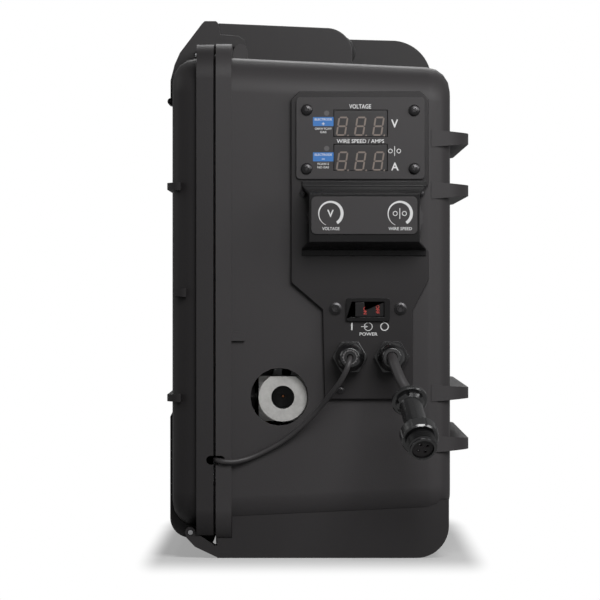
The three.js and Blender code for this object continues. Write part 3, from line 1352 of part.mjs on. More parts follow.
const PINION_PHASE = Math.PI / 2;
const lowerPhase = ROLL_Y.map((y) => {
  const direction = Math.atan2(LOWER_Z - PINION_Z, y - DRIVE_Y);
  return meshPhase(PINION_PHASE, PINION_TEETH, direction, ROLL_TEETH);
});
const upperPhase = lowerPhase.map((phase) => meshPhase(phase, ROLL_TEETH, Math.PI / 2, ROLL_TEETH));

function gearedRoll(y, z, phase) {
  const rollR = ROLL_PITCH_R - WIRE_R - SEAT;
  const gearLeft = GEAR_X - GEAR_WIDTH;
  const groove = 0.8;
  const neckR = ROLL_SHAFT_R + 6;
  const profile = [
    [ROLL_SHAFT_R + RUN, gearLeft + 1],
    [neckR, gearLeft + 1],
    [neckR, gearLeft - 1],
    [rollR, gearLeft - 1],
    [rollR, WIRE_X + 1.4],
    [rollR - groove, WIRE_X],
    [rollR, WIRE_X - 1.4],
    [rollR, ROLL_LEFT_X],
    [ROLL_SHAFT_R + RUN, ROLL_LEFT_X],
    [ROLL_SHAFT_R + RUN, gearLeft + 1],
  ];
  const shape = gearShape(y, z, ROLL_TEETH, phase);
  shape.holes.push(new THREE.Path().absarc(y, z, ROLL_SHAFT_R + RUN, 0, 2 * Math.PI, true));
  return join(prism('x', shape, gearLeft, GEAR_X, 4), lathe('x', profile, y, z, 12));
}
['front', 'rear'].forEach((name, i) => {
  place(`drive_roll_${name}`, gearedRoll(ROLL_Y[i], LOWER_Z, lowerPhase[i]), FINISH.steel);
  place(`pressure_roll_${name}`, gearedRoll(ROLL_Y[i], UPPER_Z, upperPhase[i]), FINISH.steel);
});

const pinion = join(
  prism('x', gearShape(DRIVE_Y, PINION_Z, PINION_TEETH, PINION_PHASE), GEAR_X - GEAR_WIDTH, GEAR_X),
  rod('x', DRIVE_Y, PINION_Z, ROLL_SHAFT_R, GEAR_X - 1, DIVIDER_X + 16, 8),
);
place('drive_pinion', pinion, FINISH.steel);

// The pressure arm: a cheek that carries the upper rolls and a bridge for the tension screw.
const ARM_TOP_Z = UPPER_Z + 28;
function pressureArm() {
  const tip = TENSION_Y - 9;
  const nose = 9;
  const cheek = outline([
    [tip, ARM_TOP_Z - 11],
    [tip, ARM_TOP_Z],
    [ARM_PIVOT_Y - 8, ARM_TOP_Z],
    [ARM_PIVOT_Y + 8, ARM_PIVOT_Z + 6],
    [ARM_PIVOT_Y + 8, ARM_PIVOT_Z - 6],
    [ARM_PIVOT_Y - 2, ARM_PIVOT_Z - 9],
    [ROLL_Y[1] + nose, UPPER_Z + 5],
    [ROLL_Y[1] + nose - 2, UPPER_Z - nose],
    [ROLL_Y[1] - nose + 2, UPPER_Z - nose],
    [ROLL_Y[1] - nose, UPPER_Z + 5],
    [ROLL_Y[0] + nose, UPPER_Z + 5],
    [ROLL_Y[0] + nose - 2, UPPER_Z - nose],
    [ROLL_Y[0] - nose + 2, UPPER_Z - nose],
    [ROLL_Y[0] - nose, UPPER_Z + 8],
  ]);
  const shafts = ROLL_Y.map((y) => rod('x', y, UPPER_Z, ROLL_SHAFT_R, ARM_X - 1, GEAR_X + 1, 8));
  const barrel = rod('x', ARM_PIVOT_Y, ARM_PIVOT_Z, ARM_PIVOT_R + 4, ARM_X - 1, PLATE_X - 1, 8);
  const bridge = block(ARM_X - 1, PLATE_X - 2, tip, ARM_PIVOT_Y - 10, ARM_TOP_Z - 8, ARM_TOP_Z);
  return cut(
    join(prism('x', cheek, ARM_X - ARM_THICK, ARM_X), shafts, barrel, bridge),
    rod('x', ARM_PIVOT_Y, ARM_PIVOT_Z, ARM_PIVOT_R + RUN, ARM_X - ARM_THICK - 1, PLATE_X + 1, 8),
    rod('z', TENSION_X, TENSION_Y, SCREW_R + SEAT, ARM_TOP_Z - 12, ARM_TOP_Z + 1, 6),
  );
}
place('pressure_arm', pressureArm(), FINISH.satin);

function tensionKnob() {
  const base = ARM_TOP_Z + SEAT;
  const sleeve = base + 18;
  return join(
    rod('z', TENSION_X, TENSION_Y, SCREW_R, UPPER_Z - 1, base + 1, 6),
    rod('z', TENSION_X, TENSION_Y, 8, base, sleeve + 1, 8),
    prism('z', lobedShape(TENSION_X, TENSION_Y, 12, 8), sleeve, sleeve + 18),
  );
}
place('tension_knob', tensionKnob(), FINISH.satin);

function guideBlock(fromY, toY, flare) {
  const height = 6;
  const bore = rod('y', WIRE_X, WIRE_Z, GUIDE_BORE_R, fromY - 1, toY + 1, 5);
  const stem = block(WIRE_X - height, PLATE_X - SEAT, fromY, toY, WIRE_Z - height, WIRE_Z + height);
  if (!flare) return cut(stem, bore);
  const mouth = lathe('y', [[0, toY - 8], [GUIDE_BORE_R, toY - 8], [5, toY + 1], [0, toY + 1]], WIRE_X, WIRE_Z, 12);
  return cut(stem, bore, mouth);
}
place('inlet_guide', guideBlock(ROLL_Y[1] + 24, ARM_PIVOT_Y + 14, true), FINISH.brass);
place('middle_guide', guideBlock(DRIVE_Y - 2.5, DRIVE_Y + 2.5, false), FINISH.brass);

// The welding wire runs from the winding's underside through the drive to the receiver.
const WIRE_BEND_Y = ARM_PIVOT_Y + 24;
const wireDistance = Math.hypot(SPOOL_Y - WIRE_BEND_Y, SPOOL_Z - WIRE_Z);
const wireClear = WINDING_R + WIRE_R + SEAT;
const wireDrop =
  Math.atan2(SPOOL_Z - WIRE_Z, SPOOL_Y - WIRE_BEND_Y) - Math.asin(wireClear / wireDistance);
const wireRun = Math.sqrt(wireDistance ** 2 - wireClear ** 2);
const wireRoute = [0, 0.25, 0.5, 0.75, 1].map((share) => [
  WIRE_X,
  THREE.MathUtils.lerp(RECEIVER_BACK_Y - 7, WIRE_BEND_Y - 10, share),
  WIRE_Z,
]);
for (const share of [0.06, 0.3, 0.6, 1]) {
  wireRoute.push([
    WIRE_X,
    WIRE_BEND_Y + share * wireRun * Math.cos(wireDrop),
    WIRE_Z + share * wireRun * Math.sin(wireDrop),
  ]);
}
place('weld_wire', tube(wireRoute, WIRE_R, 6, 10), FINISH.copper);

// Gear motor on the far side of the divider.
const MOTOR_X = DIVIDER_X + SHEET + SEAT;
const GEARBOX_LENGTH = 25;
const motor = cut(
  join(
    block(MOTOR_X, MOTOR_X + GEARBOX_LENGTH, DRIVE_Y - 36, DRIVE_Y + 36, PINION_Z - 34, PINION_Z + 32),
    rod('x', DRIVE_Y, PINION_Z, MOTOR_R, MOTOR_X + GEARBOX_LENGTH - 1, MOTOR_X + MOTOR_LENGTH, 12),
  ),
  rod('x', DRIVE_Y, PINION_Z, ROLL_SHAFT_R + RUN, MOTOR_X - 1, MOTOR_X + 18, 8),
);
place('drive_motor', motor, FINISH.satin);

// ---------------------------------------------------------------- spool
const HUB_FLANGE = 2.4;
const SPOOL_RIGHT_X = DIVIDER_X - 2 * SEAT - HUB_FLANGE;
const SPOOL_LEFT_X = SPOOL_RIGHT_X - SPOOL_WIDTH;
const NUT_STUB_R = 9;
const SPOOL_SIDES = 24;

const hub = lathe(
  'x',
  [
    [NUT_STUB_R + SEAT, DIVIDER_X - SEAT],
    [44, DIVIDER_X - SEAT],
    [44, DIVIDER_X - SEAT - HUB_FLANGE],
    [SPOOL_BORE_R - RUN, DIVIDER_X - SEAT - HUB_FLANGE],
    [SPOOL_BORE_R - RUN, SPOOL_LEFT_X + 3],
    [SPOOL_BORE_R - RUN - 3, SPOOL_LEFT_X],
    [NUT_STUB_R + SEAT, SPOOL_LEFT_X],
    [NUT_STUB_R + SEAT, DIVIDER_X - SEAT],
  ],
  SPOOL_Y,
  SPOOL_Z,
  20,
);
place('spool_hub', hub, FINISH.satin);

function spool() {
  const right = SPOOL_RIGHT_X - SPOOL_FLANGE;
  const left = SPOOL_LEFT_X + SPOOL_FLANGE;
  const profile = [
    [SPOOL_BORE_R, SPOOL_RIGHT_X],
    [SPOOL_R, SPOOL_RIGHT_X],
    [SPOOL_R, right],
    [SPOOL_BARREL_R, right],
    [SPOOL_BARREL_R, left],
    [SPOOL_R, left],
    [SPOOL_R, SPOOL_LEFT_X],
    [SPOOL_BARREL_R - 4, SPOOL_LEFT_X],
    [SPOOL_BARREL_R - 4, right],
    [SPOOL_BORE_R + 4, right],
    [SPOOL_BORE_R + 4, SPOOL_LEFT_X],
    [SPOOL_BORE_R, SPOOL_LEFT_X],
    [SPOOL_BORE_R, SPOOL_RIGHT_X],
  ];
  const windows = [];
  const count = 6;
  for (let i = 0; i < count; i++) {
    const angle = (2 * Math.PI * i) / count;
    const reach = (SPOOL_BARREL_R + WINDING_R) / 2;
    const y = SPOOL_Y + reach * Math.cos(angle);
    const z = SPOOL_Z + reach * Math.sin(angle);
    windows.push(rod('x', y, z, 16, SPOOL_LEFT_X - 1, left + 0.1, 5));
  }
  return cut(lathe('x', profile, SPOOL_Y, SPOOL_Z, SPOOL_SIDES), windows);
}
place('wire_spool', spool(), FINISH.reel);

const winding = lathe(
  'x',
  [
    [SPOOL_BARREL_R + SEAT, SPOOL_RIGHT_X - SPOOL_FLANGE - SEAT],
    [WINDING_R, SPOOL_RIGHT_X - SPOOL_FLANGE - SEAT],
    [WINDING_R, SPOOL_LEFT_X + SPOOL_FLANGE + SEAT],
    [SPOOL_BARREL_R + SEAT, SPOOL_LEFT_X + SPOOL_FLANGE + SEAT],
    [SPOOL_BARREL_R + SEAT, SPOOL_RIGHT_X - SPOOL_FLANGE - SEAT],
  ],
  SPOOL_Y,
  SPOOL_Z,
  SPOOL_SIDES,
);
place('wire_winding', winding, FINISH.copper);

const nutFace = SPOOL_LEFT_X - SEAT;
const spoolNut = join(
  prism('x', lobedShape(SPOOL_Y, SPOOL_Z, SPOOL_BORE_R + 6, 8), nutFace - 4, nutFace),
  rod('x', SPOOL_Y, SPOOL_Z, NUT_STUB_R, nutFace - 1, nutFace + 24, 8),
);
place('spool_nut', spoolNut, FINISH.satin);

// ---------------------------------------------------------------- electrical side
const BOARD_X = MOTOR_X + 14;
const BOARD_LENGTH = 250;
const BOARD_HEIGHT = 160;
const BOARD_TOP_Z = BODY_TOP_Z - 35;
function controlBoard() {
  const y0 = DIVIDER_FRONT_Y + 18;
  const y1 = y0 + BOARD_LENGTH;
  const z0 = BOARD_TOP_Z - BOARD_HEIGHT;
  const z1 = BOARD_TOP_Z;
  const face = BOARD_X + SHEET;
  const corners = [y0 + 8, y1 - 8].flatMap((y) => [z0 + 8, z1 - 8].map((z) => [y, z]));
  const capacitors = [0, 1, 2].map((i) => rod('x', y0 + 150 + 28 * i, z0 + 40, 11, face - 0.5, face + 30, 6));
  return join(
    block(BOARD_X, face, y0, y1, z0, z1),
    corners.map(([y, z]) => rod('x', y, z, 3, MOTOR_X, BOARD_X + 1, 4)),
    capacitors,
    block(face - 0.5, face + 34, y0 + 30, y0 + 80, z0 + 30, z0 + 78),
    block(face - 0.5, face + 22, y0 + 140, y0 + 220, z1 - 50, z1 - 34),
    block(face - 0.5, face + 10, y0 + 20, y0 + 90, z1 - 30, z1 - 18),
  );
}
place('control_board', controlBoard(), FINISH.board);

const CONTACTOR_Y = 120;
const CONTACTOR_LENGTH = 66;
const contactor = join(
  block(MOTOR_X, MOTOR_X + 56, CONTACTOR_Y, CONTACTOR_Y + CONTACTOR_LENGTH, STUD_Z - 32, STUD_Z + 28),
  block(MOTOR_X, MOTOR_X + 42, CONTACTOR_Y - 10, CONTACTOR_Y + 1, STUD_Z - 24, STUD_Z + 20),
  rod('x', CONTACTOR_Y + CONTACTOR_LENGTH / 2, STUD_Z, 16, MOTOR_X + 50, MOTOR_X + 66, 8),
);
place('contactor', contactor, FINISH.satin);

const VALVE_Y = 168;
const valve = cut(
  join(
    block(MOTOR_X, GAS_X + 14, VALVE_Y, VALVE_Y + 32, GAS_Z - 15, GAS_Z + 15),
    rod('z', GAS_X, VALVE_Y + 16, 11, GAS_Z + 14, GAS_Z + 44, 8),
    rod('y', GAS_X, GAS_Z, GAS_THREAD_R, VALVE_Y + 30, HALF_DEPTH + 22, 8),
    prism('y', hexagon(GAS_X, GAS_Z, GAS_THREAD_R + 5), HALF_DEPTH + SEAT, HALF_DEPTH + 7),
    rod('y', GAS_X, GAS_Z, GAS_THREAD_R - 4, VALVE_Y - 10, VALVE_Y + 1, 6),
  ),
  rod('y', GAS_X, GAS_Z, 4, VALVE_Y + 44, HALF_DEPTH + 23, 6),
);
place('gas_valve', valve, FINISH.brass);

const hoseRoute = [
  [GAS_X, VALVE_Y - 10 - SEAT, GAS_Z],
  [GAS_X, VALVE_Y - 19, GAS_Z],
  [GAS_X + 1, VALVE_Y - 32, GAS_Z - 3],
  [52, 112, GAS_Z - 22],
  [60, 88, 240],
  [64, 74, 180],
  [60, 40, 146],
  [54, -20, 138],
  [48, -100, 138],
  [40, -168, 136],
  [26, HOSE_Y - 2, HOSE_Z + 2],
  [16, HOSE_Y, HOSE_Z],
  [MOTOR_X, HOSE_Y, HOSE_Z],
  [PLATE_X + SEAT, HOSE_Y, HOSE_Z],
];
place('gas_hose', tube(hoseRoute, HOSE_R, 8, 24), FINISH.rubber);

const collarThroat = STUD_COLLAR_R - 4 - SEAT;
const collar = lathe(
  'y',
  [
    [6 + SEAT, HALF_DEPTH - CASE_WALL - 5],
    [collarThroat, HALF_DEPTH - CASE_WALL - 5],
    [collarThroat, HALF_DEPTH + SEAT],
    [STUD_COLLAR_R, HALF_DEPTH + SEAT],
    [STUD_COLLAR_R, HALF_DEPTH + 5],
    [STUD_COLLAR_R - 3, HALF_DEPTH + 8],
    [6 + SEAT, HALF_DEPTH + 8],
    [6 + SEAT, HALF_DEPTH - CASE_WALL - 5],
  ],
  STUD_X,
  STUD_Z,
  16,
);
place('stud_collar', collar, FINISH.satin);
const stud = join(
  rod('y', STUD_X, STUD_Z, 6, CONTACTOR_Y + CONTACTOR_LENGTH + SEAT, HALF_DEPTH + 28, 6),
  prism('y', hexagon(STUD_X, STUD_Z, 11), HALF_DEPTH + 8 + SEAT, HALF_DEPTH + 17),
);
place('weld_stud', stud, FINISH.brass);

export default feeder;
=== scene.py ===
# %% [markdown]
# # A portable wire feeder
# A wire feeder is the case that pushes welding wire to the welder's gun. This one is the kind that
# is carried to the job: a moulded black case with a door down its left side, and behind the door a
# four-roll wire drive and a 300 mm spool. The working solids are already made and are loaded as a
# fixed frame. Each step below dresses one of them: rounded edges, grain, screws, legends, cables.

# %% Load the frame
import json
import math

import bmesh
import bpy
from mathutils import Matrix, Vector
from mathutils.bvhtree import BVHTree


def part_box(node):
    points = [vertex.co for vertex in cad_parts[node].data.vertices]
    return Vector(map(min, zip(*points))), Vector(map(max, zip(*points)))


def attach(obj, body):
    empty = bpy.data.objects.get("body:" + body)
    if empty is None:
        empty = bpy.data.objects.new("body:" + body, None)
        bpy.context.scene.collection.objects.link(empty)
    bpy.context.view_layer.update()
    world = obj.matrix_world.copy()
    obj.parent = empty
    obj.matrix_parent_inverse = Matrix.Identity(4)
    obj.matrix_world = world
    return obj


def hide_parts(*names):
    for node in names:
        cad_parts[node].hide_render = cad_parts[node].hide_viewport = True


MM = 0.001
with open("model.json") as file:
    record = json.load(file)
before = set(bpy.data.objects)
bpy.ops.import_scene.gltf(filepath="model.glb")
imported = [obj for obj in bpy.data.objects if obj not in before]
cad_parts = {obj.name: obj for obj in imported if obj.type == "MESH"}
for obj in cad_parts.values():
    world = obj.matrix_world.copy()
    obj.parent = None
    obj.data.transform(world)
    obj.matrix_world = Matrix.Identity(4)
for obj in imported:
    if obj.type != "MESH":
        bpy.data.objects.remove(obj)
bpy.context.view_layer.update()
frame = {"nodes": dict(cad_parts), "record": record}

# %% [markdown]
# ## The camera
# A product picture of a case is taken from far away with a long lens, so that its sides hardly
# converge. The camera looks straight along +Y. Its picture is shifted and not turned, which keeps
# the case's upright edges upright.

# %% Place the camera
SENSOR = 36.0
FRAME_WIDTH = 0.4427  # metres that the picture's width covers at the front panel
STAND_OFF = 4.2
EYE_HEIGHT = 0.205
panel_face_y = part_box("front_panel")[0].y

camera_data = bpy.data.cameras.new("camera")
camera_data.sensor_width = SENSOR
camera_data.lens = SENSOR * STAND_OFF / FRAME_WIDTH
camera_data.shift_x = -0.0205
camera_data.shift_y = -0.0320
camera_data.clip_end = 50
camera = bpy.data.objects.new("camera", camera_data)
camera.location = (-0.0007, panel_face_y - STAND_OFF, EYE_HEIGHT)
camera.rotation_euler = (math.radians(90), 0, 0)
bpy.context.collection.objects.link(camera)
bpy.context.scene.camera = camera
print("lens", round(camera_data.lens), "mm")

# %% [markdown]
# ## The cords
# Two leads leave the panel through glands. The thin one senses the voltage at the work: it sags
# across the front, goes through the slot beside the door, and its spare length is stored inside
# the case as a round coil with its clip. The thick one is the short trigger lead of the gun, which
# ends in a connector. Each is a tube along a smooth line, so that its length can be measured.

# %% Helpers for curves that follow points
def to_metres(points):
    """Points given in millimetres, in metres."""
    return [Vector(point) * MM for point in points]


def smooth_route(points, step):
    """Points about one step apart on a smooth curve through the given ones."""
    route = []
    for i in range(len(points) - 1):
        before = points[max(i - 1, 0)]
        start, end = points[i], points[i + 1]
        after = points[min(i + 2, len(points) - 1)]
        pieces = max(1, round((end - start).length / step))
        for k in range(pieces):
            t = k / pieces
            pull_in = (end - before) * 0.5
            pull_out = (after - start) * 0.5
            route.append(
                start * (2 * t**3 - 3 * t**2 + 1)
                + pull_in * (t**3 - 2 * t**2 + t)
                + end * (-2 * t**3 + 3 * t**2)
                + pull_out * (t**3 - t**2)
            )
    route.append(points[-1])
    return route


def relaxed(route, passes=12):
    """The route after its stiffness has opened its tight corners. Its ends stay where they are."""
    for _ in range(passes):
        inner = [
            before * 0.25 + point * 0.5 + after * 0.25
            for before, point, after in zip(route, route[1:], route[2:])
        ]
        route = [route[0]] + inner + [route[-1]]
    return route


def length_of(points):
    """The length of the line through the points."""
    return sum((b - a).length for a, b in zip(points, points[1:]))


def round_wire(name, points, radius, sides=10):
    """A round wire along the points, as a closed tube."""
    curve = bpy.data.curves.new(name, "CURVE")
    curve.dimensions = "3D"
    spline = curve.splines.new("POLY")
    spline.points.add(len(points) - 1)
    for place, point in zip(spline.points, points):
        place.co = (*point, 1)
    curve.bevel_depth = radius
    curve.bevel_resolution = (sides - 4) // 2
    curve.use_fill_caps = True
    line = bpy.data.objects.new(name, curve)
    bpy.context.collection.objects.link(line)
    view = bpy.context.evaluated_depsgraph_get()
    mesh = bpy.data.meshes.new_from_object(line.evaluated_get(view))
    bpy.data.objects.remove(line)
    for face in mesh.polygons:
        face.use_smooth = True
    mesh.set_sharp_from_angle(angle=math.radians(60))
    piece = bpy.data.objects.new(name, mesh)
    bpy.context.collection.objects.link(piece)
    return piece


# %% The sense lead, from its gland to its stored coil and its clip
SENSE_DIAMETER = 4 * MM
sense_points = to_metres([
    (27, -284.4, 148.9),
    (27, -293.4, 148.4),
    (25.5, -296, 142),
    (19.3, -291, 130),
    (9.6, -279, 117.5),
    (1.5, -271, 107.8),
    (-9.6, -266.5, 97),
    (-20.4, -263, 88),
    (-34.1, -261.4, 80),
    (-46, -261.2, 74.5),
    (-56, -263.6, 71.6),
    (-64, -265.9, 71.3),
    (-69.6, -265.8, 72.2),
    (-72.4, -261.5, 72.6),
    (-72.4, -252, 72.6),
    (-72.2, -243, 74),
    (-71, -235, 77),
    (-69.55, -228, 80.5),
])
COIL_PITCH = 4.1 * MM
COIL_COLUMNS = 5
COIL_LAYERS = 4
COIL_WIDTH = COIL_COLUMNS * COIL_PITCH
COIL_DEPTH = COIL_LAYERS * COIL_PITCH
STEPS_PER_TURN = 24
coil_low, coil_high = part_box("sense_cable_coil")
coil_outer = (coil_high.z - coil_low.z) / 2
coil_centre = Vector((
    coil_high.x - COIL_WIDTH / 2,
    (coil_low.y + coil_high.y) / 2,
    (coil_low.z + coil_high.z) / 2,
))


def coil_spot(turn):
    """Where a turn lies in the coil's section: to the side, and out from the centre."""
    layer, column = divmod(turn, COIL_COLUMNS)
    if layer % 2:
        column = COIL_COLUMNS - 1 - column
    side = (column + 0.5) * COIL_PITCH - COIL_WIDTH / 2
    return Vector((side, coil_outer - (layer + 0.5) * COIL_PITCH))


def coil_points():
    """The turns, wound from the outside inwards. Inner turns shift first, so none lies in another."""
    turns = COIL_COLUMNS * COIL_LAYERS
    shifts = 2 * COIL_LAYERS - 1
    points = []
    for step in range((turns - 1) * STEPS_PER_TURN + STEPS_PER_TURN // 2 + 1):
        turn, part = divmod(step, STEPS_PER_TURN)
        layer, column = divmod(turn, COIL_COLUMNS)
        due = 2 * (COIL_LAYERS - 1 - layer) - (column == COIL_COLUMNS - 1)
        share = min(1.0, max(0.0, part / STEPS_PER_TURN * shifts - due))
        if turn == turns - 1:
            share = 0.0
        eased = share * share * (3 - 2 * share)
        side, out = coil_spot(turn).lerp(coil_spot(turn + 1), eased)
        angle = math.pi / 2 - 2 * math.pi * step / STEPS_PER_TURN
        points.append(coil_centre + Vector((side, out * math.cos(angle), out * math.sin(angle))))
    return points


coil = coil_points()
clip_entry = [
    coil_centre + Vector(step) * MM
    for step in ((-10.6, -5.6, -15.5), (-13.4, -9.2, -11.5), (-14.1, -10, -6))
]
whole_route = smooth_route(sense_points + coil + clip_entry, 2 * MM)
lead_in = len(smooth_route(sense_points, 2 * MM))
sense_route = relaxed(whole_route[:lead_in]) + whole_route[lead_in:]
sense_lead = round_wire("sense_lead", sense_route, SENSE_DIAMETER / 2)
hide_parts("sense_cable", "sense_cable_coil")
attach(sense_lead, "case")
print("sense lead", round(length_of(sense_route), 3), "m")

# %% The trigger lead, from its gland to its connector
TRIGGER_DIAMETER = 7.5 * MM
trigger_points = to_metres([
    (57.8, -284.4, 148.9),
    (57.8, -292.4, 148.6),
    (58.7, -300.5, 145.5),
    (61, -306, 139.5),
    (64, -311.5, 132.5),
])
PLUG_BACK = Vector((69, -321, 121.5)) * MM
PLUG_FACE = Vector((79, -371, 83.5)) * MM
trigger_points += [PLUG_BACK.lerp(PLUG_FACE, share) for share in (-0.1, 0.06)]
trigger_route = smooth_route(trigger_points, 3 * MM)
trigger_lead = round_wire("trigger_lead", trigger_route, TRIGGER_DIAMETER / 2, sides=16)
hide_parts("trigger_cable")
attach(trigger_lead, "case")
print("trigger lead", round(length_of(trigger_route), 3), "m")

# %% [markdown]
# ## The studio
# The case is black, so it is drawn by what it reflects. One large soft lamp stands in front, a
# little up and to the right. Weak ones at the sides draw the edges, and one behind throws the
# shadow that lies before the case. The room round them is dim. To the camera the surround is
# white, and so is the floor away from the case. Close to the case the floor is painted a dim grey
# that fades out to white: a painted shadow round the case, on which the lamps' real shadows fall.
# Mirror rays see a grey surround, and rays through glass a white one.

# %% Helpers for shader maths
class Signal:
    """An output of a shader node. Python's signs work on it, and each adds one Math node."""

    def __init__(self, finish, socket):
        self.finish = finish
        self.socket = socket

    def _math(self, operation, first, second):
        return self.finish.node("ShaderNodeMath", {"operation": operation}, {0: first, 1: second})

    def __add__(self, other):
        return self._math("ADD", self, other)

    __radd__ = __add__

    def __mul__(self, other):
        return self._math("MULTIPLY", self, other)

    __rmul__ = __mul__

    def __sub__(self, other):
        return self._math("SUBTRACT", self, other)

    def __rsub__(self, other):
        return self._math("SUBTRACT", other, self)

    def __gt__(self, other):
        return self._math("GREATER_THAN", self, other)

    def __lt__(self, other):
        return self._math("LESS_THAN", self, other)

    def __pow__(self, other):
        return self._math("POWER", self, other)


class Finish:
    """A material while it is being made."""

    def __init__(self, name):
        self.material = bpy.data.materials.new(name)
        self.material.use_nodes = True
        self.tree = self.material.node_tree
        self.tree.nodes.clear()
        self.out = self.tree.nodes.new("ShaderNodeOutputMaterial")

    def node(self, kind, settings=None, sockets=None, take=0):
        """Adds a node: its settings first, then its sockets. Returns one of its outputs."""
        node = self.tree.nodes.new(kind)
        for key, value in (settings or {}).items():
            if key == "stops":
                self._set_stops(node, value)
            else:
                setattr(node, key, value)
        for key, value in (sockets or {}).items():
            self.feed(node.inputs[key], value)
        return Signal(self, node.outputs[take])

    def _set_stops(self, node, stops):
        ramp = node.color_ramp.elements
        while len(ramp) < len(stops):
            ramp.new(0.5)
        for element, (place, value) in zip(ramp, stops):
            element.position = place
            element.color = (value, value, value, 1) if isinstance(value, (int, float)) else value

    def feed(self, socket, value):
        if isinstance(value, Signal):
            self.tree.links.new(value.socket, socket)
        else:
            socket.default_value = value

    def surface(self, **sockets):
        """The main shader, with its sockets by name: an underscore stands for a space."""
        names = {key.replace("_", " "): value for key, value in sockets.items()}
        shader = self.node("ShaderNodeBsdfPrincipled", None, names)
        self.feed(self.out.inputs["Surface"], shader)
        return self.material

    def place(self):
        """The point's own place on the piece, in metres."""
        return self.node("ShaderNodeTexCoord", take="Object")

    def noise(self, scale, detail=2.0, roughness=0.5, place=None):
        """Cloudy noise from 0 to 1, with so many lumps to a metre."""
        sockets = {"Scale": scale, "Detail": detail, "Roughness": roughness}
        sockets["Vector"] = place or self.place()
        return self.node("ShaderNodeTexNoise", None, sockets)

    def bump(self, height, strength, distance, normal=None):
        """A surface normal tilted by a height."""
        sockets = {"Strength": strength, "Distance": distance, "Height": height}
        if normal:
            sockets["Normal"] = normal
        return self.node("ShaderNodeBump", None, sockets)

    def mix(self, share, first, second):
        """A colour between two, or two signals."""
        settings = {"data_type": "RGBA"}
        sockets = {0: share, 6: first, 7: second}
        return self.node("ShaderNodeMix", settings, sockets, take=2)


def grey(level):
    """A neutral colour."""
    return (level, level, level, 1)


# %% The white floor and surround
ROOM_GLOW = 0.06
MIRROR_GLOW = 0.3
PAINTED_SHADOW_REACH = 0.25  # metres before and behind the case at which the floor is plain white
SIDE_SHARE = 12  # the shadow reaches so many times less far at the sides
FOOT_HALF = (0.11, 0.27, 0)  # metres from the middle of the case to its sides and ends


def seen_light(finish, seen, mirrored, room):
    """White light that is so strong to the camera and through glass, in mirrors, and elsewhere."""
    rays = finish.tree.nodes.new("ShaderNodeLightPath")
    camera_ray, glossy_ray, clear_ray = (
        Signal(finish, rays.outputs[name])
        for name in ("Is Camera Ray", "Is Glossy Ray", "Is Transmission Ray")
    )
    straight = camera_ray + clear_ray
    return straight * (seen - room) + glossy_ray * (mirrored - room) + room


# Close to the case the floor is a dim grey matte with a weak glow, which fades into plain white further
# out: a painted shadow round the case, on which the lamps' real shadows fall too.
floor_finish = Finish("studio_floor")
matte = floor_finish.node("ShaderNodeBsdfDiffuse", None, {"Color": grey(0.4)})
lift = floor_finish.node(
    "ShaderNodeEmission", None, {"Color": grey(1), "Strength": seen_light(floor_finish, 0.3, 0.1, 0)}
)
white = floor_finish.node(
    "ShaderNodeEmission", None, {"Color": grey(1), "Strength": seen_light(floor_finish, 1, MIRROR_GLOW, 0)}
)
# The painted shadow near the case: a dim matte with a weak glow, never as bright as the white further out.
painted_shadow_floor = floor_finish.node("ShaderNodeAddShader", None, {0: matte, 1: lift})


def floor_vector(operation, first, second=(0, 0, 0), take=0):
    """One step of vector maths in the floor's finish."""
    settings = {"operation": operation}
    return floor_finish.node("ShaderNodeVectorMath", settings, {0: first, 1: second}, take)


spot = floor_vector("ABSOLUTE", floor_finish.place())
outside = floor_vector("MAXIMUM", floor_vector("SUBTRACT", spot, FOOT_HALF))
weighed = floor_vector("MULTIPLY", outside, (SIDE_SHARE, 1, 1))
reach = floor_vector("LENGTH", weighed, take=1)
far_share = floor_finish.node(
    "ShaderNodeMapRange", {"interpolation_type": "SMOOTHSTEP"}, {0: reach, 1: 0.0, 2: PAINTED_SHADOW_REACH}
)
floor_finish.feed(
    floor_finish.out.inputs["Surface"],
    floor_finish.node("ShaderNodeMixShader", None, {0: far_share, 1: painted_shadow_floor, 2: white}),
)

FLOOR_HALF = 3.0
floor_mesh = bpy.data.meshes.new("floor")
corners = [(-1, -1), (1, -1), (1, 1), (-1, 1)]
floor_mesh.from_pydata([(x * FLOOR_HALF, y * FLOOR_HALF, 0) for x, y in corners], [], [(0, 1, 2, 3)])
floor = bpy.data.objects.new("floor", floor_mesh)
floor.data.materials.append(floor_finish.material)
bpy.context.collection.objects.link(floor)


class WorldFinish(Finish):
    """The same tools for the world's own nodes."""

    def __init__(self, world):
        world.use_nodes = True
        self.tree = world.node_tree
        self.tree.nodes.clear()
        self.out = self.tree.nodes.new("ShaderNodeOutputWorld")


world = bpy.data.worlds.new("studio")
bpy.context.scene.world = world
surround = WorldFinish(world)
strength = seen_light(surround, 1, MIRROR_GLOW, ROOM_GLOW)
glow = surround.node("ShaderNodeBackground", None, {"Color": grey(1), "Strength": strength})
surround.feed(surround.out.inputs["Surface"], glow)
bpy.context.scene.view_settings.view_transform = "Standard"


# %% The lamps
def soft_lamp(name, place, aim, size, power):
    """A square lamp that faces a point."""
    data = bpy.data.lights.new(name, "AREA")
    data.shape = "SQUARE"
    data.size = size
    data.energy = power
    lamp = bpy.data.objects.new(name, data)
    lamp.location = place
    lamp.rotation_euler = (Vector(aim) - Vector(place)).to_track_quat("-Z", "Y").to_euler()
    bpy.context.collection.objects.link(lamp)
    return lamp


middle = (0, 0, 0.2)
soft_lamp("key_lamp", (0.3, -1.25, 0.8), middle, 0.6, 11)
soft_lamp("edge_lamp", (1.5, -1.1, 0.8), middle, 0.8, 10)
soft_lamp("left_lamp", (-1.7, 0.1, 0.9), middle, 0.8, 4)
soft_lamp("top_lamp", (0.1, 1.2, 1.3), middle, 0.9, 9)

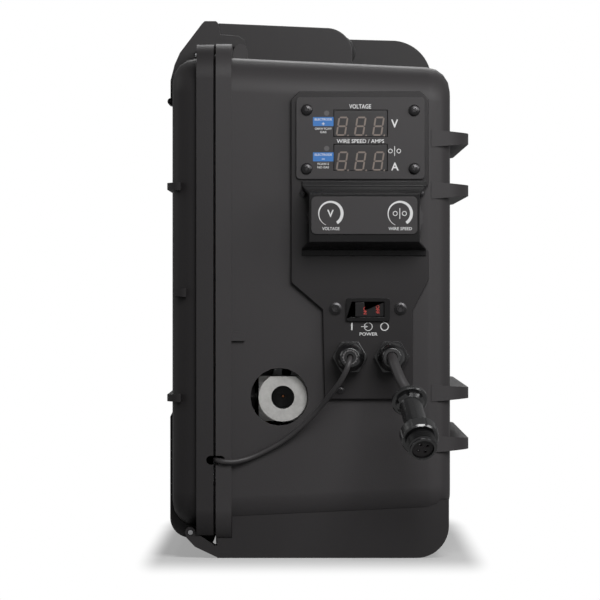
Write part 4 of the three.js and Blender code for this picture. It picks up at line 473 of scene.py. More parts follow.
# %% [markdown]
# ## The plastics
# The case is moulded in black polypropylene whose mould was etched with a fine grain. The grain is
# too small to see as lumps, but it breaks the shine into a soft grey. Two noises make it: a fine
# one for the grain's bump, and a broad one that moves the colour and the gloss a little, as
# handling does. The trim is the same plastic from a smoother mould, and the panel is polished.
# Soot in the plastic takes up much of the light that enters it, so it mirrors less than clear
# plastic does: SHEEN is its share of the usual mirror light.

# %% Moulded plastics
SHEEN = 0.3


def moulded(name, colour, gloss, grain_scale, grain_depth, cloud=0.12, sheen=SHEEN):
    """A moulded plastic: colour and roughness drift a little, and the grain is a bump."""
    finish = Finish(name)
    broad = finish.noise(14, detail=3)
    grain = finish.noise(grain_scale, detail=2, roughness=0.6)
    drift = (broad - 0.5) * cloud + (grain - 0.5) * 0.25 + 1.0
    tint = finish.mix(drift * 0.5, grey(0.0), tuple(2 * c for c in colour[:3]) + (1,))
    rough = (broad - 0.5) * 0.12 + gloss
    normal = finish.bump(grain, 0.5, grain_depth)
    return finish.surface(
        Base_Color=tint, Roughness=rough, Normal=normal, Specular_IOR_Level=sheen
    )


def rgb(red, green, blue):
    """A colour from its everyday 0 to 255 numbers, as the linear values that light uses."""
    def linear(value):
        value /= 255
        return value / 12.92 if value <= 0.04045 else ((value + 0.055) / 1.055) ** 2.4
    return (linear(red), linear(green), linear(blue), 1)


case_plastic = moulded("case_plastic", rgb(54, 52, 53), 0.52, 1400, 0.00012)
door_plastic = moulded("door_plastic", rgb(38, 36, 37), 0.56, 1400, 0.00012)
trim_plastic = moulded("trim_plastic", rgb(40, 38, 39), 0.44, 1900, 0.00005, cloud=0.2)
panel_gloss = moulded("panel_gloss", rgb(38, 36, 37), 0.36, 900, 0.00002, cloud=0.1)
guard_gloss = moulded("guard_gloss", rgb(20, 19, 20), 0.26, 900, 0.00002, cloud=0.1)
knob_plastic = moulded("knob_plastic", rgb(64, 62, 63), 0.4, 1500, 0.00003)
gland_nylon = moulded("gland_nylon", rgb(24, 24, 25), 0.2, 700, 0.00002, sheen=0.9)
reel_plastic = moulded("reel_plastic", rgb(52, 52, 55), 0.4, 500, 0.00003)
rocker_plastic = moulded("rocker_plastic", rgb(26, 25, 26), 0.28, 900, 0.00002)

# %% [markdown]
# ## The painted and printed parts
# The legend plates are aluminium with a dark grey satin film. Steel parts inside are powder
# coated, which leaves an orange-peel skin. Legends are thin prints that stand a hair proud.

# %% Paint, print and plate
plate_film = moulded("plate_film", rgb(56, 54, 55), 0.42, 2600, 0.00002, cloud=0.06)


def powder_coat(name, colour, gloss):
    """Paint that was baked on as powder: a soft orange peel."""
    finish = Finish(name)
    peel = finish.noise(900, detail=1)
    broad = finish.noise(20, detail=3)
    tint = finish.mix(broad, tuple(0.85 * c for c in colour[:3]) + (1,), colour)
    normal = finish.bump(peel, 0.4, 0.00006)
    rough = (peel - 0.5) * 0.15 + gloss
    return finish.surface(Base_Color=tint, Roughness=rough, Normal=normal)


powder_black = powder_coat("powder_black", rgb(38, 38, 40), 0.4)
powder_grey = powder_coat("powder_grey", rgb(78, 80, 84), 0.42)


def ink(name, colour):
    """Screen-printing ink: nearly flat, thinner where the mesh left it."""
    finish = Finish(name)
    speckle = finish.noise(2400, detail=2)
    tint = finish.mix(speckle * 0.5, colour, tuple(0.82 * c for c in colour[:3]) + (1,))
    return finish.surface(Base_Color=tint, Roughness=0.5)


white_ink = ink("white_ink", rgb(226, 226, 226))
blue_ink = ink("blue_ink", rgb(52, 118, 190))
red_ink = ink("red_ink", rgb(196, 62, 52))
segment_film = ink("segment_film", rgb(126, 114, 106))
dot_film = ink("dot_film", rgb(84, 82, 83))

# %% [markdown]
# ## The metals
# Metal shows by its mirror light, so its colour is bright and its detail is in the roughness:
# turning marks on machined faces, a sandy skin on castings, fine grinding on steel.

# %% Metals
def turned_metal(name, colour, gloss, lines=900, depth=0.00002, axis_scale=(1, 1, 1)):
    """Machined metal: close lines that the tool left, and small stains."""
    finish = Finish(name)
    mapping = {"Vector": finish.place(), "Scale": axis_scale}
    stretched = finish.node("ShaderNodeMapping", None, mapping)
    marks = finish.noise(lines, detail=2, place=stretched)
    stain = finish.noise(60, detail=4, roughness=0.6)
    dull = tuple(0.72 * c for c in colour[:3]) + (1,)
    tint = finish.mix(stain, dull, colour)
    rough = (marks - 0.5) * 0.22 + (stain - 0.5) * 0.15 + gloss
    normal = finish.bump(marks, 0.35, depth)
    return finish.surface(Base_Color=tint, Roughness=rough, Metallic=1.0, Normal=normal)


bright_steel = turned_metal("bright_steel", rgb(196, 196, 198), 0.28)
cast_aluminium = turned_metal("cast_aluminium", rgb(190, 191, 194), 0.42, lines=500, depth=0.00006)
machined_brass = turned_metal("machined_brass", rgb(206, 172, 108), 0.28)
receiver_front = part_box("gun_receiver")[0].y
BORE_X, BORE_Z = -22.5 * MM, 118.8 * MM
BORE_RADIUS = 8.6 * MM


def plated_bore():
    """Plating with a satin scratch, and a bore painted near black and matte: painted shade deep in the
    hole.
    """
    finish = Finish("plated_receiver")
    here = finish.place()
    parts = [finish.node("ShaderNodeSeparateXYZ", None, {0: here}, take=k) for k in range(3)]
    from_axis = ((parts[0] - BORE_X) ** 2.0 + (parts[2] - BORE_Z) ** 2.0) ** 0.5
    # Inside the bore the colour is painted near black and the metal is taken away: painted shade in the
    # hole.
    bore_shade_mask = (from_axis < BORE_RADIUS + 0.3 * MM) * (parts[1] > receiver_front + 1.5 * MM)
    marks = finish.noise(700, detail=3)
    clouds = finish.noise(170, detail=4, roughness=0.7)
    bright = finish.mix(clouds, rgb(176, 175, 172), rgb(232, 231, 228))
    tint = finish.mix(bore_shade_mask, bright, rgb(10, 10, 10))
    rough = (marks - 0.5) * 0.3 + 0.34
    metal = (1.0 - bore_shade_mask) * 0.5
    return finish.surface(
        Base_Color=tint, Roughness=rough, Metallic=metal, Normal=finish.bump(marks, 0.4, 0.00004)
    )


plated_receiver = plated_bore()
copper_wire = turned_metal("copper_wire", rgb(206, 138, 98), 0.3, lines=1200)
black_oxide = turned_metal("black_oxide", rgb(70, 69, 70), 0.34, lines=1000)

# %% [markdown]
# ## Rubber, board and glass
# Cable rubber is dull, with fine pores and a little talc. The circuit board is green lacquer.

# %% Rubber, circuit board and display
def rubber_skin(name, colour, gloss):
    """Soft rubber or cable jacket, with talc in its pores."""
    finish = Finish(name)
    pores = finish.noise(1800, detail=3)
    dust = finish.noise(45, detail=4)
    tint = finish.mix(dust * 0.6, colour, tuple(c + 0.012 for c in colour[:3]) + (1,))
    rough = (pores - 0.5) * 0.2 + gloss
    return finish.surface(
        Base_Color=tint, Roughness=rough, Normal=finish.bump(pores, 0.3, 0.00004)
    )


cable_rubber = rubber_skin("cable_rubber", rgb(52, 50, 51), 0.5)
grip_rubber = rubber_skin("grip_rubber", rgb(36, 35, 36), 0.62)
hose_rubber = rubber_skin("hose_rubber", rgb(30, 30, 31), 0.45)


def board_lacquer():
    """Green lacquer over copper tracks."""
    finish = Finish("board_lacquer")
    tracks = finish.noise(260, detail=0) > 0.5
    tint = finish.mix(tracks, rgb(22, 66, 40), rgb(34, 92, 56))
    return finish.surface(Base_Color=tint, Roughness=0.35)


def smoked_lens():
    """The dark window over the digits."""
    finish = Finish("smoked_lens")
    haze = finish.noise(30, detail=2)
    tint = finish.mix(haze, rgb(38, 36, 37), rgb(46, 44, 45))
    return finish.surface(Base_Color=tint, Roughness=0.3)


green_board = board_lacquer()
display_lens = smoked_lens()
print(len(bpy.data.materials), "finishes")

# %% [markdown]
# ## Dressing the solids
# A moulding or a casting has no sharp edge: a mould can't fill one, and a hand would feel it. The
# solids have plain edges, so each visible one is copied, its flat faces are merged, its edges are
# rounded with a bevel, and its curved walls are shaded smooth. The copy rides on the same body and
# stands for the solid.

# %% Round the edges of every solid
body_of = {}
for body, members in frame["record"]["behaviour"]["bodies"].items():
    for member in members:
        body_of[member] = body
slot_of = {row["node"]: row["material_slot"] for row in frame["record"]["subparts"]}
SMOOTH_ANGLE = math.radians(32)


def finish_mesh(piece):
    """Applies the piece's modifiers, then shades it smooth with weighted normals."""
    view = bpy.context.evaluated_depsgraph_get()
    mesh = bpy.data.meshes.new_from_object(piece.evaluated_get(view))
    piece.modifiers.clear()
    old = piece.data
    piece.data = mesh
    bpy.data.meshes.remove(old)
    for face in mesh.polygons:
        face.use_smooth = True
    mesh.set_sharp_from_angle(angle=SMOOTH_ANGLE)
    weigh = piece.modifiers.new("flat_faces_stay_flat", "WEIGHTED_NORMAL")
    weigh.keep_sharp = True


def dressed(node, finish, edge, rings=2):
    """A copy of a solid with rounded edges, in its finish."""
    mesh = frame["nodes"][node].data.copy()
    work = bmesh.new()
    work.from_mesh(mesh)
    bmesh.ops.remove_doubles(work, verts=work.verts, dist=0.000002)
    bmesh.ops.dissolve_limit(
        work, angle_limit=math.radians(0.6), verts=work.verts, edges=work.edges
    )
    work.to_mesh(mesh)
    work.free()
    mesh.materials.clear()
    mesh.materials.append(finish)
    piece = bpy.data.objects.new(node + "_skin", mesh)
    bpy.context.collection.objects.link(piece)
    if edge:
        bevel = piece.modifiers.new("round_edges", "BEVEL")
        bevel.width = edge * MM
        bevel.segments = rings
        bevel.limit_method = "ANGLE"
        bevel.angle_limit = SMOOTH_ANGLE
        bevel.use_clamp_overlap = True
        bevel.miter_outer = "MITER_ARC"
    finish_mesh(piece)
    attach(piece, body_of[node])
    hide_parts(node)
    return piece


DRESS = {
    "case_plastic": (case_plastic, 1.0),
    "trim_plastic": (trim_plastic, 0.8),
    "panel_gloss": (panel_gloss, 0.8),
    "face_plate": (plate_film, 0.3),
    "painted_steel": (powder_black, 0.5),
    "steel": (bright_steel, 0.25),
    "aluminium": (cast_aluminium, 0.6),
    "brass": (machined_brass, 0.3),
    "rubber": (grip_rubber, 0.3),
    "red_plastic": (rocker_plastic, 0.5),
    "display_lens": (display_lens, 0.3),
    "circuit_board": (green_board, 0.2),
    "wire": (copper_wire, 0.0),
    "reel_plastic": (reel_plastic, 0.6),
}
SPECIAL = {
    "body_shell": (case_plastic, 1.4),
    "door_shell": (door_plastic, 1.4),
    "knob_guard": (guard_gloss, 0.5),
    "power_switch_body": (guard_gloss, 0.5),
    "voltage_knob": (knob_plastic, 0.4),
    "wire_speed_knob": (knob_plastic, 0.4),
    "sense_gland": (gland_nylon, 0.5),
    "sense_gland_nut": (gland_nylon, 0.4),
    "trigger_gland": (gland_nylon, 0.5),
    "trigger_gland_nut": (gland_nylon, 0.4),
    "gun_receiver": (plated_receiver, 0.5),
    "gas_hose": (hose_rubber, 0.0),
    "divider_panel": (powder_grey, 0.3),
    "trigger_socket_shell": (gland_nylon, 0.4),
    "trigger_socket_ring": (gland_nylon, 0.4),
}
CORD_SOLIDS = {"sense_cable", "sense_cable_coil", "trigger_cable"}
skins = {}
for node, slot in slot_of.items():
    if node not in CORD_SOLIDS:
        finish, edge = SPECIAL.get(node, DRESS[slot])
        skins[node] = dressed(node, finish, edge)
sense_lead.data.materials.append(cable_rubber)
trigger_lead.data.materials.append(cable_rubber)
print(len(skins), "solids dressed")

# %% [markdown]
# ## Printed legends
# A legend is ink a few hundredths of a millimetre thick. Each word is a text object that is turned
# into a mesh, measured and scaled to its height and width, and laid on the plate that carries it.
# Symbols, scales and digits are flat outlines that are worked out and laid the same way.

# %% Helpers for prints that face the operator
INK = 0.04 * MM


def to_piece(name, mesh, finish, body):
    """Makes an object of a mesh, with its finish, on its body."""
    piece = bpy.data.objects.new(name, mesh)
    bpy.context.collection.objects.link(piece)
    mesh.materials.clear()
    mesh.materials.append(finish)
    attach(piece, body)
    return piece


def as_mesh(name, work):
    """The mesh of a finished shape, with its faces turned outwards."""
    bmesh.ops.recalc_face_normals(work, faces=work.faces)
    mesh = bpy.data.meshes.new(name)
    work.to_mesh(mesh)
    work.free()
    return mesh


def close_loops(work, first, last):
    """Walls between two loops of as many points."""
    for i in range(len(first)):
        j = (i + 1) % len(first)
        work.faces.new((first[i], first[j], last[j], last[i]))


def add_prism(work, start, end):
    """A closed prism whose two ends are outlines of as many points."""
    first = [work.verts.new(point) for point in start]
    last = [work.verts.new(point) for point in end]
    work.faces.new(last)
    work.faces.new(list(reversed(first)))
    close_loops(work, first, last)


def print_outlines(name, outlines, y, finish, thick=INK, body="case"):
    """Flat shapes in millimetres across and up, laid on the plane at y and facing -Y."""
    work = bmesh.new()
    for outline in outlines:
        back, front = ([(x * MM, at, z * MM) for x, z in outline] for at in (y, y - thick))
        add_prism(work, back, front)
    return to_piece(name, as_mesh(name, work), finish, body)


def lettering(name, words, centre, height, width, y, finish=None, turn=0, body="case", bold=0.012):
    """Words whose capitals are so high and which run so wide, centred and facing -Y."""
    curve = bpy.data.curves.new(name, "FONT")
    curve.body = words
    curve.offset = bold
    curve.extrude = 0.01
    curve.resolution_u = 3
    source = bpy.data.objects.new(name, curve)
    bpy.context.collection.objects.link(source)
    view = bpy.context.evaluated_depsgraph_get()
    mesh = bpy.data.meshes.new_from_object(source.evaluated_get(view))
    bpy.data.objects.remove(source)
    low = [min(v.co[i] for v in mesh.vertices) for i in range(3)]
    high = [max(v.co[i] for v in mesh.vertices) for i in range(3)]
    middle = Vector([(a + b) / 2 for a, b in zip(low, high)])
    tall = high[1] - low[1]
    across = height * MM / tall
    scale_x = width * MM / (high[0] - low[0]) if width else across
    fit = Matrix.Diagonal((scale_x, across, INK / 0.02, 1))
    place = Matrix.Translation((centre[0] * MM, y - INK / 2, centre[1] * MM))
    stand = Matrix.Rotation(math.radians(90), 4, "X")
    spin = Matrix.Rotation(math.radians(turn), 4, "Z")
    mesh.transform(place @ stand @ spin @ fit @ Matrix.Translation(-middle))
    return to_piece(name, mesh, finish or white_ink, body)


def circle_band(x, z, radius, stroke, sides=40):
    """A ring of ink, as quads between its two edges."""
    quads = []
    for i in range(sides):
        a, b = 2 * math.pi * i / sides, 2 * math.pi * (i + 1) / sides
        inner = radius - stroke
        quads.append([
            (x + radius * math.cos(a), z + radius * math.sin(a)),
            (x + radius * math.cos(b), z + radius * math.sin(b)),
            (x + inner * math.cos(b), z + inner * math.sin(b)),
            (x + inner * math.cos(a), z + inner * math.sin(a)),
        ])
    return quads


def bar(x0, x1, z0, z1):
    """A rectangle of ink."""
    return [(x0, z0), (x1, z0), (x1, z1), (x0, z1)]


def disc(x, z, radius, sides=32):
    """A dot of ink."""
    turn = 2 * math.pi / sides
    return [(x + radius * math.cos(turn * i), z + radius * math.sin(turn * i)) for i in range(sides)]


def wire_symbol(x, z, size):
    """The sign for wire speed: a wire between two rolls."""
    roll = 0.23 * size
    gap = 0.43 * size
    stroke = 0.07 * size
    rolls = circle_band(x - gap, z, roll, stroke) + circle_band(x + gap, z, roll, stroke)
    return rolls + [bar(x - stroke / 2, x + stroke / 2, z - size / 2, z + size / 2)]


# %% [markdown]
# ### The meter plate
# Two windows of three digits each, all dark because the feeder is off. A seven-segment digit is
# seven bars with pointed ends, leaning nine degrees, 14.2 mm tall, which is the standard size.

# %% The meter plate's print
plate_low, plate_high = (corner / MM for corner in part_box("meter_faceplate"))
lens_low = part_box("display_module")[0] / MM
METER_FACE_Y = plate_low.y * MM
LENS_FACE_Y = lens_low.y * MM
plate_left, plate_top = plate_low.x, plate_high.z


def on_plate(across, down):
    """A place on the meter plate from its upper left corner."""
    return plate_left + across, plate_top - down


DIGIT_HEIGHT = 14.2
DIGIT_WIDTH = 6.1
DIGIT_PITCH = 13.4
DIGIT_STROKE = 1.2
LEAN = math.tan(math.radians(9))


def segment(ax, az, bx, bz, stroke):
    """One bar with pointed ends, from a to b."""
    along = Vector((bx - ax, bz - az)).normalized()
    side = Vector((-along.y, along.x)) * stroke / 2
    tip = along * stroke / 2
    a, b = Vector((ax, az)) + tip * 0.35, Vector((bx, bz)) - tip * 0.35
    return [a, a + tip + side, b - tip + side, b, b - tip - side, a + tip - side]


def digit(x, z):
    """The seven bars and the point of one digit whose lower left corner is given."""
    w, h = DIGIT_WIDTH, DIGIT_HEIGHT - DIGIT_STROKE
    half = h / 2
    z += DIGIT_STROKE / 2
    ends = [
        (0, 0, w, 0), (0, half, w, half), (0, h, w, h),
        (0, 0, 0, half), (0, half, 0, h), (w, 0, w, half), (w, half, w, h),
    ]
    bars = [segment(ax, az, bx, bz, DIGIT_STROKE) for ax, az, bx, bz in ends]
    bars.append(disc(w + 2.4, -0.3, 0.65, 12))
    return [[(x + px + pz * LEAN, z + pz) for px, pz in shape] for shape in bars]


for row, down in enumerate((28.4, 54.1)):
    bars = []
    for place in range(3):
        x, z = on_plate(29.8 + place * DIGIT_PITCH, down)
        bars += digit(x, z)
    print_outlines(f"digits_{row + 1}", bars, LENS_FACE_Y, segment_film)

METER_WORDS = (
    ("word_voltage", "VOLTAGE", 47.2, 6.7, 3.2, 16.2, 0.012),
    ("word_wire_speed_amps", "WIRE SPEED / AMPS", 47.4, 32.3, 2.9, 35, 0.012),
    ("letter_volts", "V", 72.6, 19.4, 6.1, 5.2, 0.02),
    ("letter_amps", "A", 72.8, 51.0, 5.9, 5.6, 0.02),
)
for name, words, across, down, height, width, bold in METER_WORDS:
    lettering(name, words, on_plate(across, down), height, width, METER_FACE_Y, bold=bold)
x, z = on_plate(72.6, 39.6)
print_outlines("wire_sign_meter", wire_symbol(x, z, 7.2), METER_FACE_Y, white_ink)

BLOCK_HALF_WIDTH = 7.6
BLOCK_HALF_HEIGHT = 3.3
POLARITY = (
    ("plus", 17.9, ("GMAW FCAW", 12.5), ("GAS", 4.6)),
    ("minus", 43.9, ("FCAW-S", 8.4), ("NO GAS", 8.4)),
)
for name, down, first_line, second_line in POLARITY:
    x, z = on_plate(20, down)
    block_face = METER_FACE_Y - INK
    block = bar(x - BLOCK_HALF_WIDTH, x + BLOCK_HALF_WIDTH, z - BLOCK_HALF_HEIGHT, z + BLOCK_HALF_HEIGHT)
    print_outlines(f"block_{name}", [block], METER_FACE_Y, blue_ink)
    lettering(f"word_electrode_{name}", "ELECTRODE", (x, z + 1.6), 1.6, 12.6, block_face)
    sign_bars = [bar(x - 1.1, x + 1.1, z - 1.85, z - 1.35)]
    if name == "plus":
        sign_bars.append(bar(x - 0.25, x + 0.25, z - 2.7, z - 0.5))
    print_outlines(f"sign_{name}", sign_bars, block_face, white_ink)
    for row, (words, width) in enumerate((first_line, second_line)):
        spot = (x, z - 5.2 - 2.5 * row)
        lettering(f"word_gas_{name}_{row + 1}", words, spot, 1.6, width, METER_FACE_Y)
    x, z = on_plate(22.5, down - 6.2)
    print_outlines(f"lamp_{name}", [disc(x, z, 1.9)], METER_FACE_Y, dot_film)

# %% [markdown]
# ### The knob legend
# The plate on the knobs' guard shows a scale for each knob: a band that grows thicker clockwise
# from seven o'clock to five o'clock, with the sign of what the knob sets inside it.

# %% The knob legend's print
legend_low, legend_high = (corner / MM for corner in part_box("legend_plate"))
LEGEND_FACE_Y = legend_low.y * MM
legend_left, legend_top = legend_low.x, legend_high.z


def growing_scale(x, z, radius, thickest, start=247, sweep=304, steps=48):
    """A band round a centre that grows from a point to its full width, clockwise."""
    quads = []
    for i in range(steps):
        edges = []
        for k in (i, i + 1):
            angle = math.radians(start - sweep * k / steps)
            inner = radius - thickest * (0.12 + 0.88 * min(1.0, 1.25 * k / steps))
            edges.append(((x + radius * math.cos(angle), z + radius * math.sin(angle)),
                          (x + inner * math.cos(angle), z + inner * math.sin(angle))))
        (a, b), (c, d) = edges
        quads.append([a, c, d, b])
    return quads


for name, across in (("voltage", 14.4), ("wire_speed", 65.2)):
    x, z = legend_left + across, legend_top - 12.4
    print_outlines(f"scale_{name}", growing_scale(x, z, 9.3, 2.2), LEGEND_FACE_Y, white_ink)
    if name == "voltage":
        lettering("letter_v_legend", "V", (x - 0.3, z), 5.4, 4.8, LEGEND_FACE_Y, bold=0.02)
        lettering("word_voltage_legend", "VOLTAGE", (x, z - 11.1), 2.3, 12.7, LEGEND_FACE_Y)
    else:
        print_outlines("wire_sign_legend", wire_symbol(x - 0.3, z, 7.8), LEGEND_FACE_Y, white_ink)
        lettering("word_wire_speed_legend", "WIRE SPEED", (x, z - 11.1), 2.3, 17.2, LEGEND_FACE_Y)

# %% [markdown]
# ### The switch legend
# The panel says what the switch does with the usual signs: a line for on, a circle for off, and
# between them an arrow that enters a circle, for power in.

# %% The switch legend's print
switch_low, switch_high = (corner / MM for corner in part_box("power_switch_body"))
switch_x = (switch_low.x + switch_high.x) / 2
switch_z = (switch_low.z + switch_high.z) / 2
PANEL_Y = panel_face_y
ON_X, POWER_X, OFF_X = 28.5, 40.6, 52.6
SIGN_RADIUS = 3.15
sign_z = switch_z - 12.6
on_sign = [bar(ON_X - 0.5, ON_X + 0.5, sign_z - 2.7, sign_z + 2.7)]
print_outlines("sign_on", on_sign, PANEL_Y, white_ink)
print_outlines("sign_off", circle_band(OFF_X, sign_z, SIGN_RADIUS, 0.7), PANEL_Y, white_ink)
tip_x = POWER_X - 0.2
arrow = [bar(tip_x - 5.2, tip_x - 1, sign_z - 0.25, sign_z + 0.25)]
arrow.append([(tip_x - 2.2, sign_z - 0.9), (tip_x, sign_z), (tip_x - 2.2, sign_z + 0.9)])
power_sign = arrow + circle_band(POWER_X, sign_z, SIGN_RADIUS, 0.5)
print_outlines("sign_power_in", power_sign, PANEL_Y, white_ink)
lettering("word_power", "POWER", (POWER_X + 0.2, sign_z - 5.5), 2.4, 13.2, PANEL_Y)


# %% [markdown]
# ## Screws and bolts
# The plates are held by small cross-head screws with round heads, and the panel by bolts whose
# head is a hexagon on a flange. One of each is made, and the rest are copies of it. The cross is
# cut with a boolean, because a drawn-on cross would have no depth.

# %% One cross-head screw and one flange bolt
def turned(profile, sides=32):
    """A solid of revolution about Z from (radius, height) pairs in millimetres."""
    work = bmesh.new()
    rings = []
    for radius, height in profile:
        if radius == 0:
            rings.append([work.verts.new((0, 0, height * MM))])
            continue
        ring = []
        for i in range(sides):
            angle = 2 * math.pi * i / sides
            spot = (radius * MM * math.cos(angle), radius * MM * math.sin(angle), height * MM)
            ring.append(work.verts.new(spot))
        rings.append(ring)
    for below, above in zip(rings, rings[1:]):
        for i in range(sides):
            j = (i + 1) % sides
            corners = [(below, i), (below, j), (above, j), (above, i)]
            loop = [ring[k % len(ring)] for ring, k in corners]
            loop = [v for n, v in enumerate(loop) if v not in loop[:n]]
            if len(loop) > 2:
                work.faces.new(loop)
    return work


def shade(mesh, angle=32):
    """Smooth shading, with edges sharper than the angle kept."""
    for face in mesh.polygons:
        face.use_smooth = True
    mesh.set_sharp_from_angle(angle=math.radians(angle))


def cross_head_mesh(radius, height):
    """A round screw head with a cross cut in it."""
    dome = [(radius * math.cos(t), height * (0.35 + 0.65 * math.sin(t)))
            for t in (math.radians(a) for a in range(0, 90, 10))]
    work = turned([(0, 0), (radius * 0.97, 0)] + dome + [(0, height)])
    head = bpy.data.objects.new("cross_head", as_mesh("cross_head", work))
    bpy.context.collection.objects.link(head)
    cutters = []
    arm, wide = radius * 0.58 * MM, radius * 0.17 * MM
    for name, half_x, half_y in (("slot_a", arm, wide), ("slot_b", wide, arm)):
        tool = bmesh.new()
        bmesh.ops.create_cube(tool, size=2)
        size = Matrix.Diagonal((half_x, half_y, 0.55 * height * MM, 1))
        placing = Matrix.Translation((0, 0, height * MM)) @ size
        bmesh.ops.transform(tool, matrix=placing, verts=tool.verts)
        for v in tool.verts:
            if v.co.z < height * MM:
                v.co.x *= 0.55
                v.co.y *= 0.55
        cutter = bpy.data.objects.new(name, as_mesh(name, tool))
        bpy.context.collection.objects.link(cutter)
        cut = head.modifiers.new(name, "BOOLEAN")
        cut.operation = "DIFFERENCE"
        cut.object = cutter
        cutters.append(cutter)
    view = bpy.context.evaluated_depsgraph_get()
    done = bpy.data.meshes.new_from_object(head.evaluated_get(view))
    for spare in [head] + cutters:
        bpy.data.objects.remove(spare)
    shade(done)
    return done


def flange_bolt_mesh(flange_radius, hex_radius, height):
    """A hexagon head that stands on its own round flange, with a hollow in its top."""
    f, h = flange_radius, height
    work = turned([(0, 0), (f, 0), (f, 0.2 * h), (hex_radius, 0.36 * h), (0, 0.36 * h)])
    steps = ((1, 0.3), (1, 0.88), (0.88, 1), (0.6, 1), (0.5, 0.9), (0, 0.88))
    hexagon = turned([(out * hex_radius, up * h) for out, up in steps], sides=6)
    work.from_mesh(as_mesh("hexagon", hexagon))
    mesh = as_mesh("flange_bolt", work)
    shade(mesh)
    return mesh


FACING_OPERATOR = Matrix.Rotation(math.radians(90), 4, "X")


def fasten(name, mesh, place, finish, turn=0, facing=FACING_OPERATOR, body="case"):
    """Puts a shared fastener mesh at a place in millimetres, turned about its own axis."""
    piece = bpy.data.objects.new(name, mesh.copy())
    bpy.context.collection.objects.link(piece)
    spin = Matrix.Rotation(math.radians(turn), 4, "Z")
    piece.data.transform(Matrix.Translation(Vector(place) * MM) @ facing @ spin)
    piece.data.materials.clear()
    piece.data.materials.append(finish)
    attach(piece, body)
    return piece


plate_screw = cross_head_mesh(4.2, 2.6)
small_screw = cross_head_mesh(2.9, 1.9)
panel_bolt = flange_bolt_mesh(4.6, 3.3, 3.8)

# %% Screws of the meter plate, bolts of the panel
METER_SCREWS = ((7.9, 9.2), (87.1, 9.6), (7.7, 52.6), (87.1, 52.6))
PANEL_BOLT_OFFSET = 24.0
GUARD_SCREW_X = (-7.1, 78.9)
GUARD_SCREW_Z = 269.4
for index, (across, down) in enumerate(METER_SCREWS):
    x, z = on_plate(across, down)
    spot = (x, METER_FACE_Y / MM, z)
    fasten(f"meter_screw_{index + 1}", plate_screw, spot, black_oxide, turn=20 + 31 * index)
for index, side in enumerate((-1, 1)):
    spot = (switch_x + side * PANEL_BOLT_OFFSET, PANEL_Y / MM, switch_z + 0.6)
    fasten(f"panel_bolt_{index + 1}", panel_bolt, spot, black_oxide, turn=12 * side)
panel_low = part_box("front_panel")[0] / MM
spot = (switch_x - 20.5, PANEL_Y / MM, panel_low.z + 6.6)
fasten("panel_bolt_3", small_screw, spot, black_oxide, turn=10)
for index, x in enumerate(GUARD_SCREW_X):
    spot = (x, PANEL_Y / MM, GUARD_SCREW_Z)
    fasten(f"guard_screw_{index + 1}", small_screw, spot, black_oxide, turn=40 * index)
print("screws and bolts placed")

# %% [markdown]
# ## Small parts of the leads
# The left gland grips its lead with a ring of claws, the right one with a smooth seal. The gun's
# connector has a threaded barrel and four pins. The sense lead ends in a spring clip with toothed
# jaws, which is gripped on the work, and two ties hold its coil.

# %% Helpers for parts on an axis
def on_axis(foot, axis):
    """The placing of a part that is built along Z, so that it stands on the foot along the axis."""
    return Matrix.Translation(foot) @ axis.to_track_quat("Z", "Y").to_matrix().to_4x4()


def turned_piece(name, profile, placing, finish, sides=32):
    """A solid of revolution that is placed on an axis of the case."""
    mesh = as_mesh(name, turned(profile, sides))
    mesh.transform(placing)
    shade(mesh)
    return to_piece(name, mesh, finish, "case")


def ring_profile(inner, outer, low, high, round_by=0.3):
    """The closed section of a ring with its corners rounded off."""
    r = round_by
    return [
        (inner, low), (outer - r, low), (outer, low + r), (outer, high - r),
        (outer - r, high), (inner, high), (inner, low),
    ]


def side_plate(name, outline, x0, x1, finish):
    """A flat shape given across Y and up Z in millimetres, as thick as x0 to x1."""
    work = bmesh.new()
    ends = ([(x * MM, y * MM, z * MM) for y, z in outline] for x in (x0, x1))
    add_prism(work, *ends)
    return to_piece(name, as_mesh(name, work), finish, "case")


# %% The glands' claws and seal
NUT_FACE_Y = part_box("sense_gland_nut")[0].y / MM
GLAND_HEIGHT = 148.9
SENSE_X, TRIGGER_X = 27, 57.8
CLAWS = 15


def claw_ring(radii):
    """Points round the sense lead's axis, whose distance from it takes the radii in turn."""
    points = []
    for i in range(2 * CLAWS):
        angle = math.pi * i / CLAWS
        radius = radii[i % len(radii)]
        points.append((SENSE_X + radius * math.cos(angle), GLAND_HEIGHT + radius * math.sin(angle)))
    return points


tips, roots = claw_ring((4.9, 5.9)), claw_ring((4.5,))
claw_quads = [
    [tips[i - 1], tips[i], roots[i], roots[i - 1]] for i in range(2 * CLAWS)
]
# The claws are coloured light grey, which stands in for the light caught on their edges: a painted
# highlight.
claw_highlight_finish = moulded("claw_painted_highlight", rgb(104, 102, 103), 0.35, 900, 0.00002)
print_outlines("gland_claws", claw_quads, NUT_FACE_Y * MM, claw_highlight_finish, thick=0.5 * MM)
seal_place = on_axis(Vector((TRIGGER_X, NUT_FACE_Y, GLAND_HEIGHT)) * MM, Vector((0, -1, 0)))
turned_piece("gland_seal", ring_profile(4.2, 6.3, -1.5, 0.5), seal_place, grip_rubber)

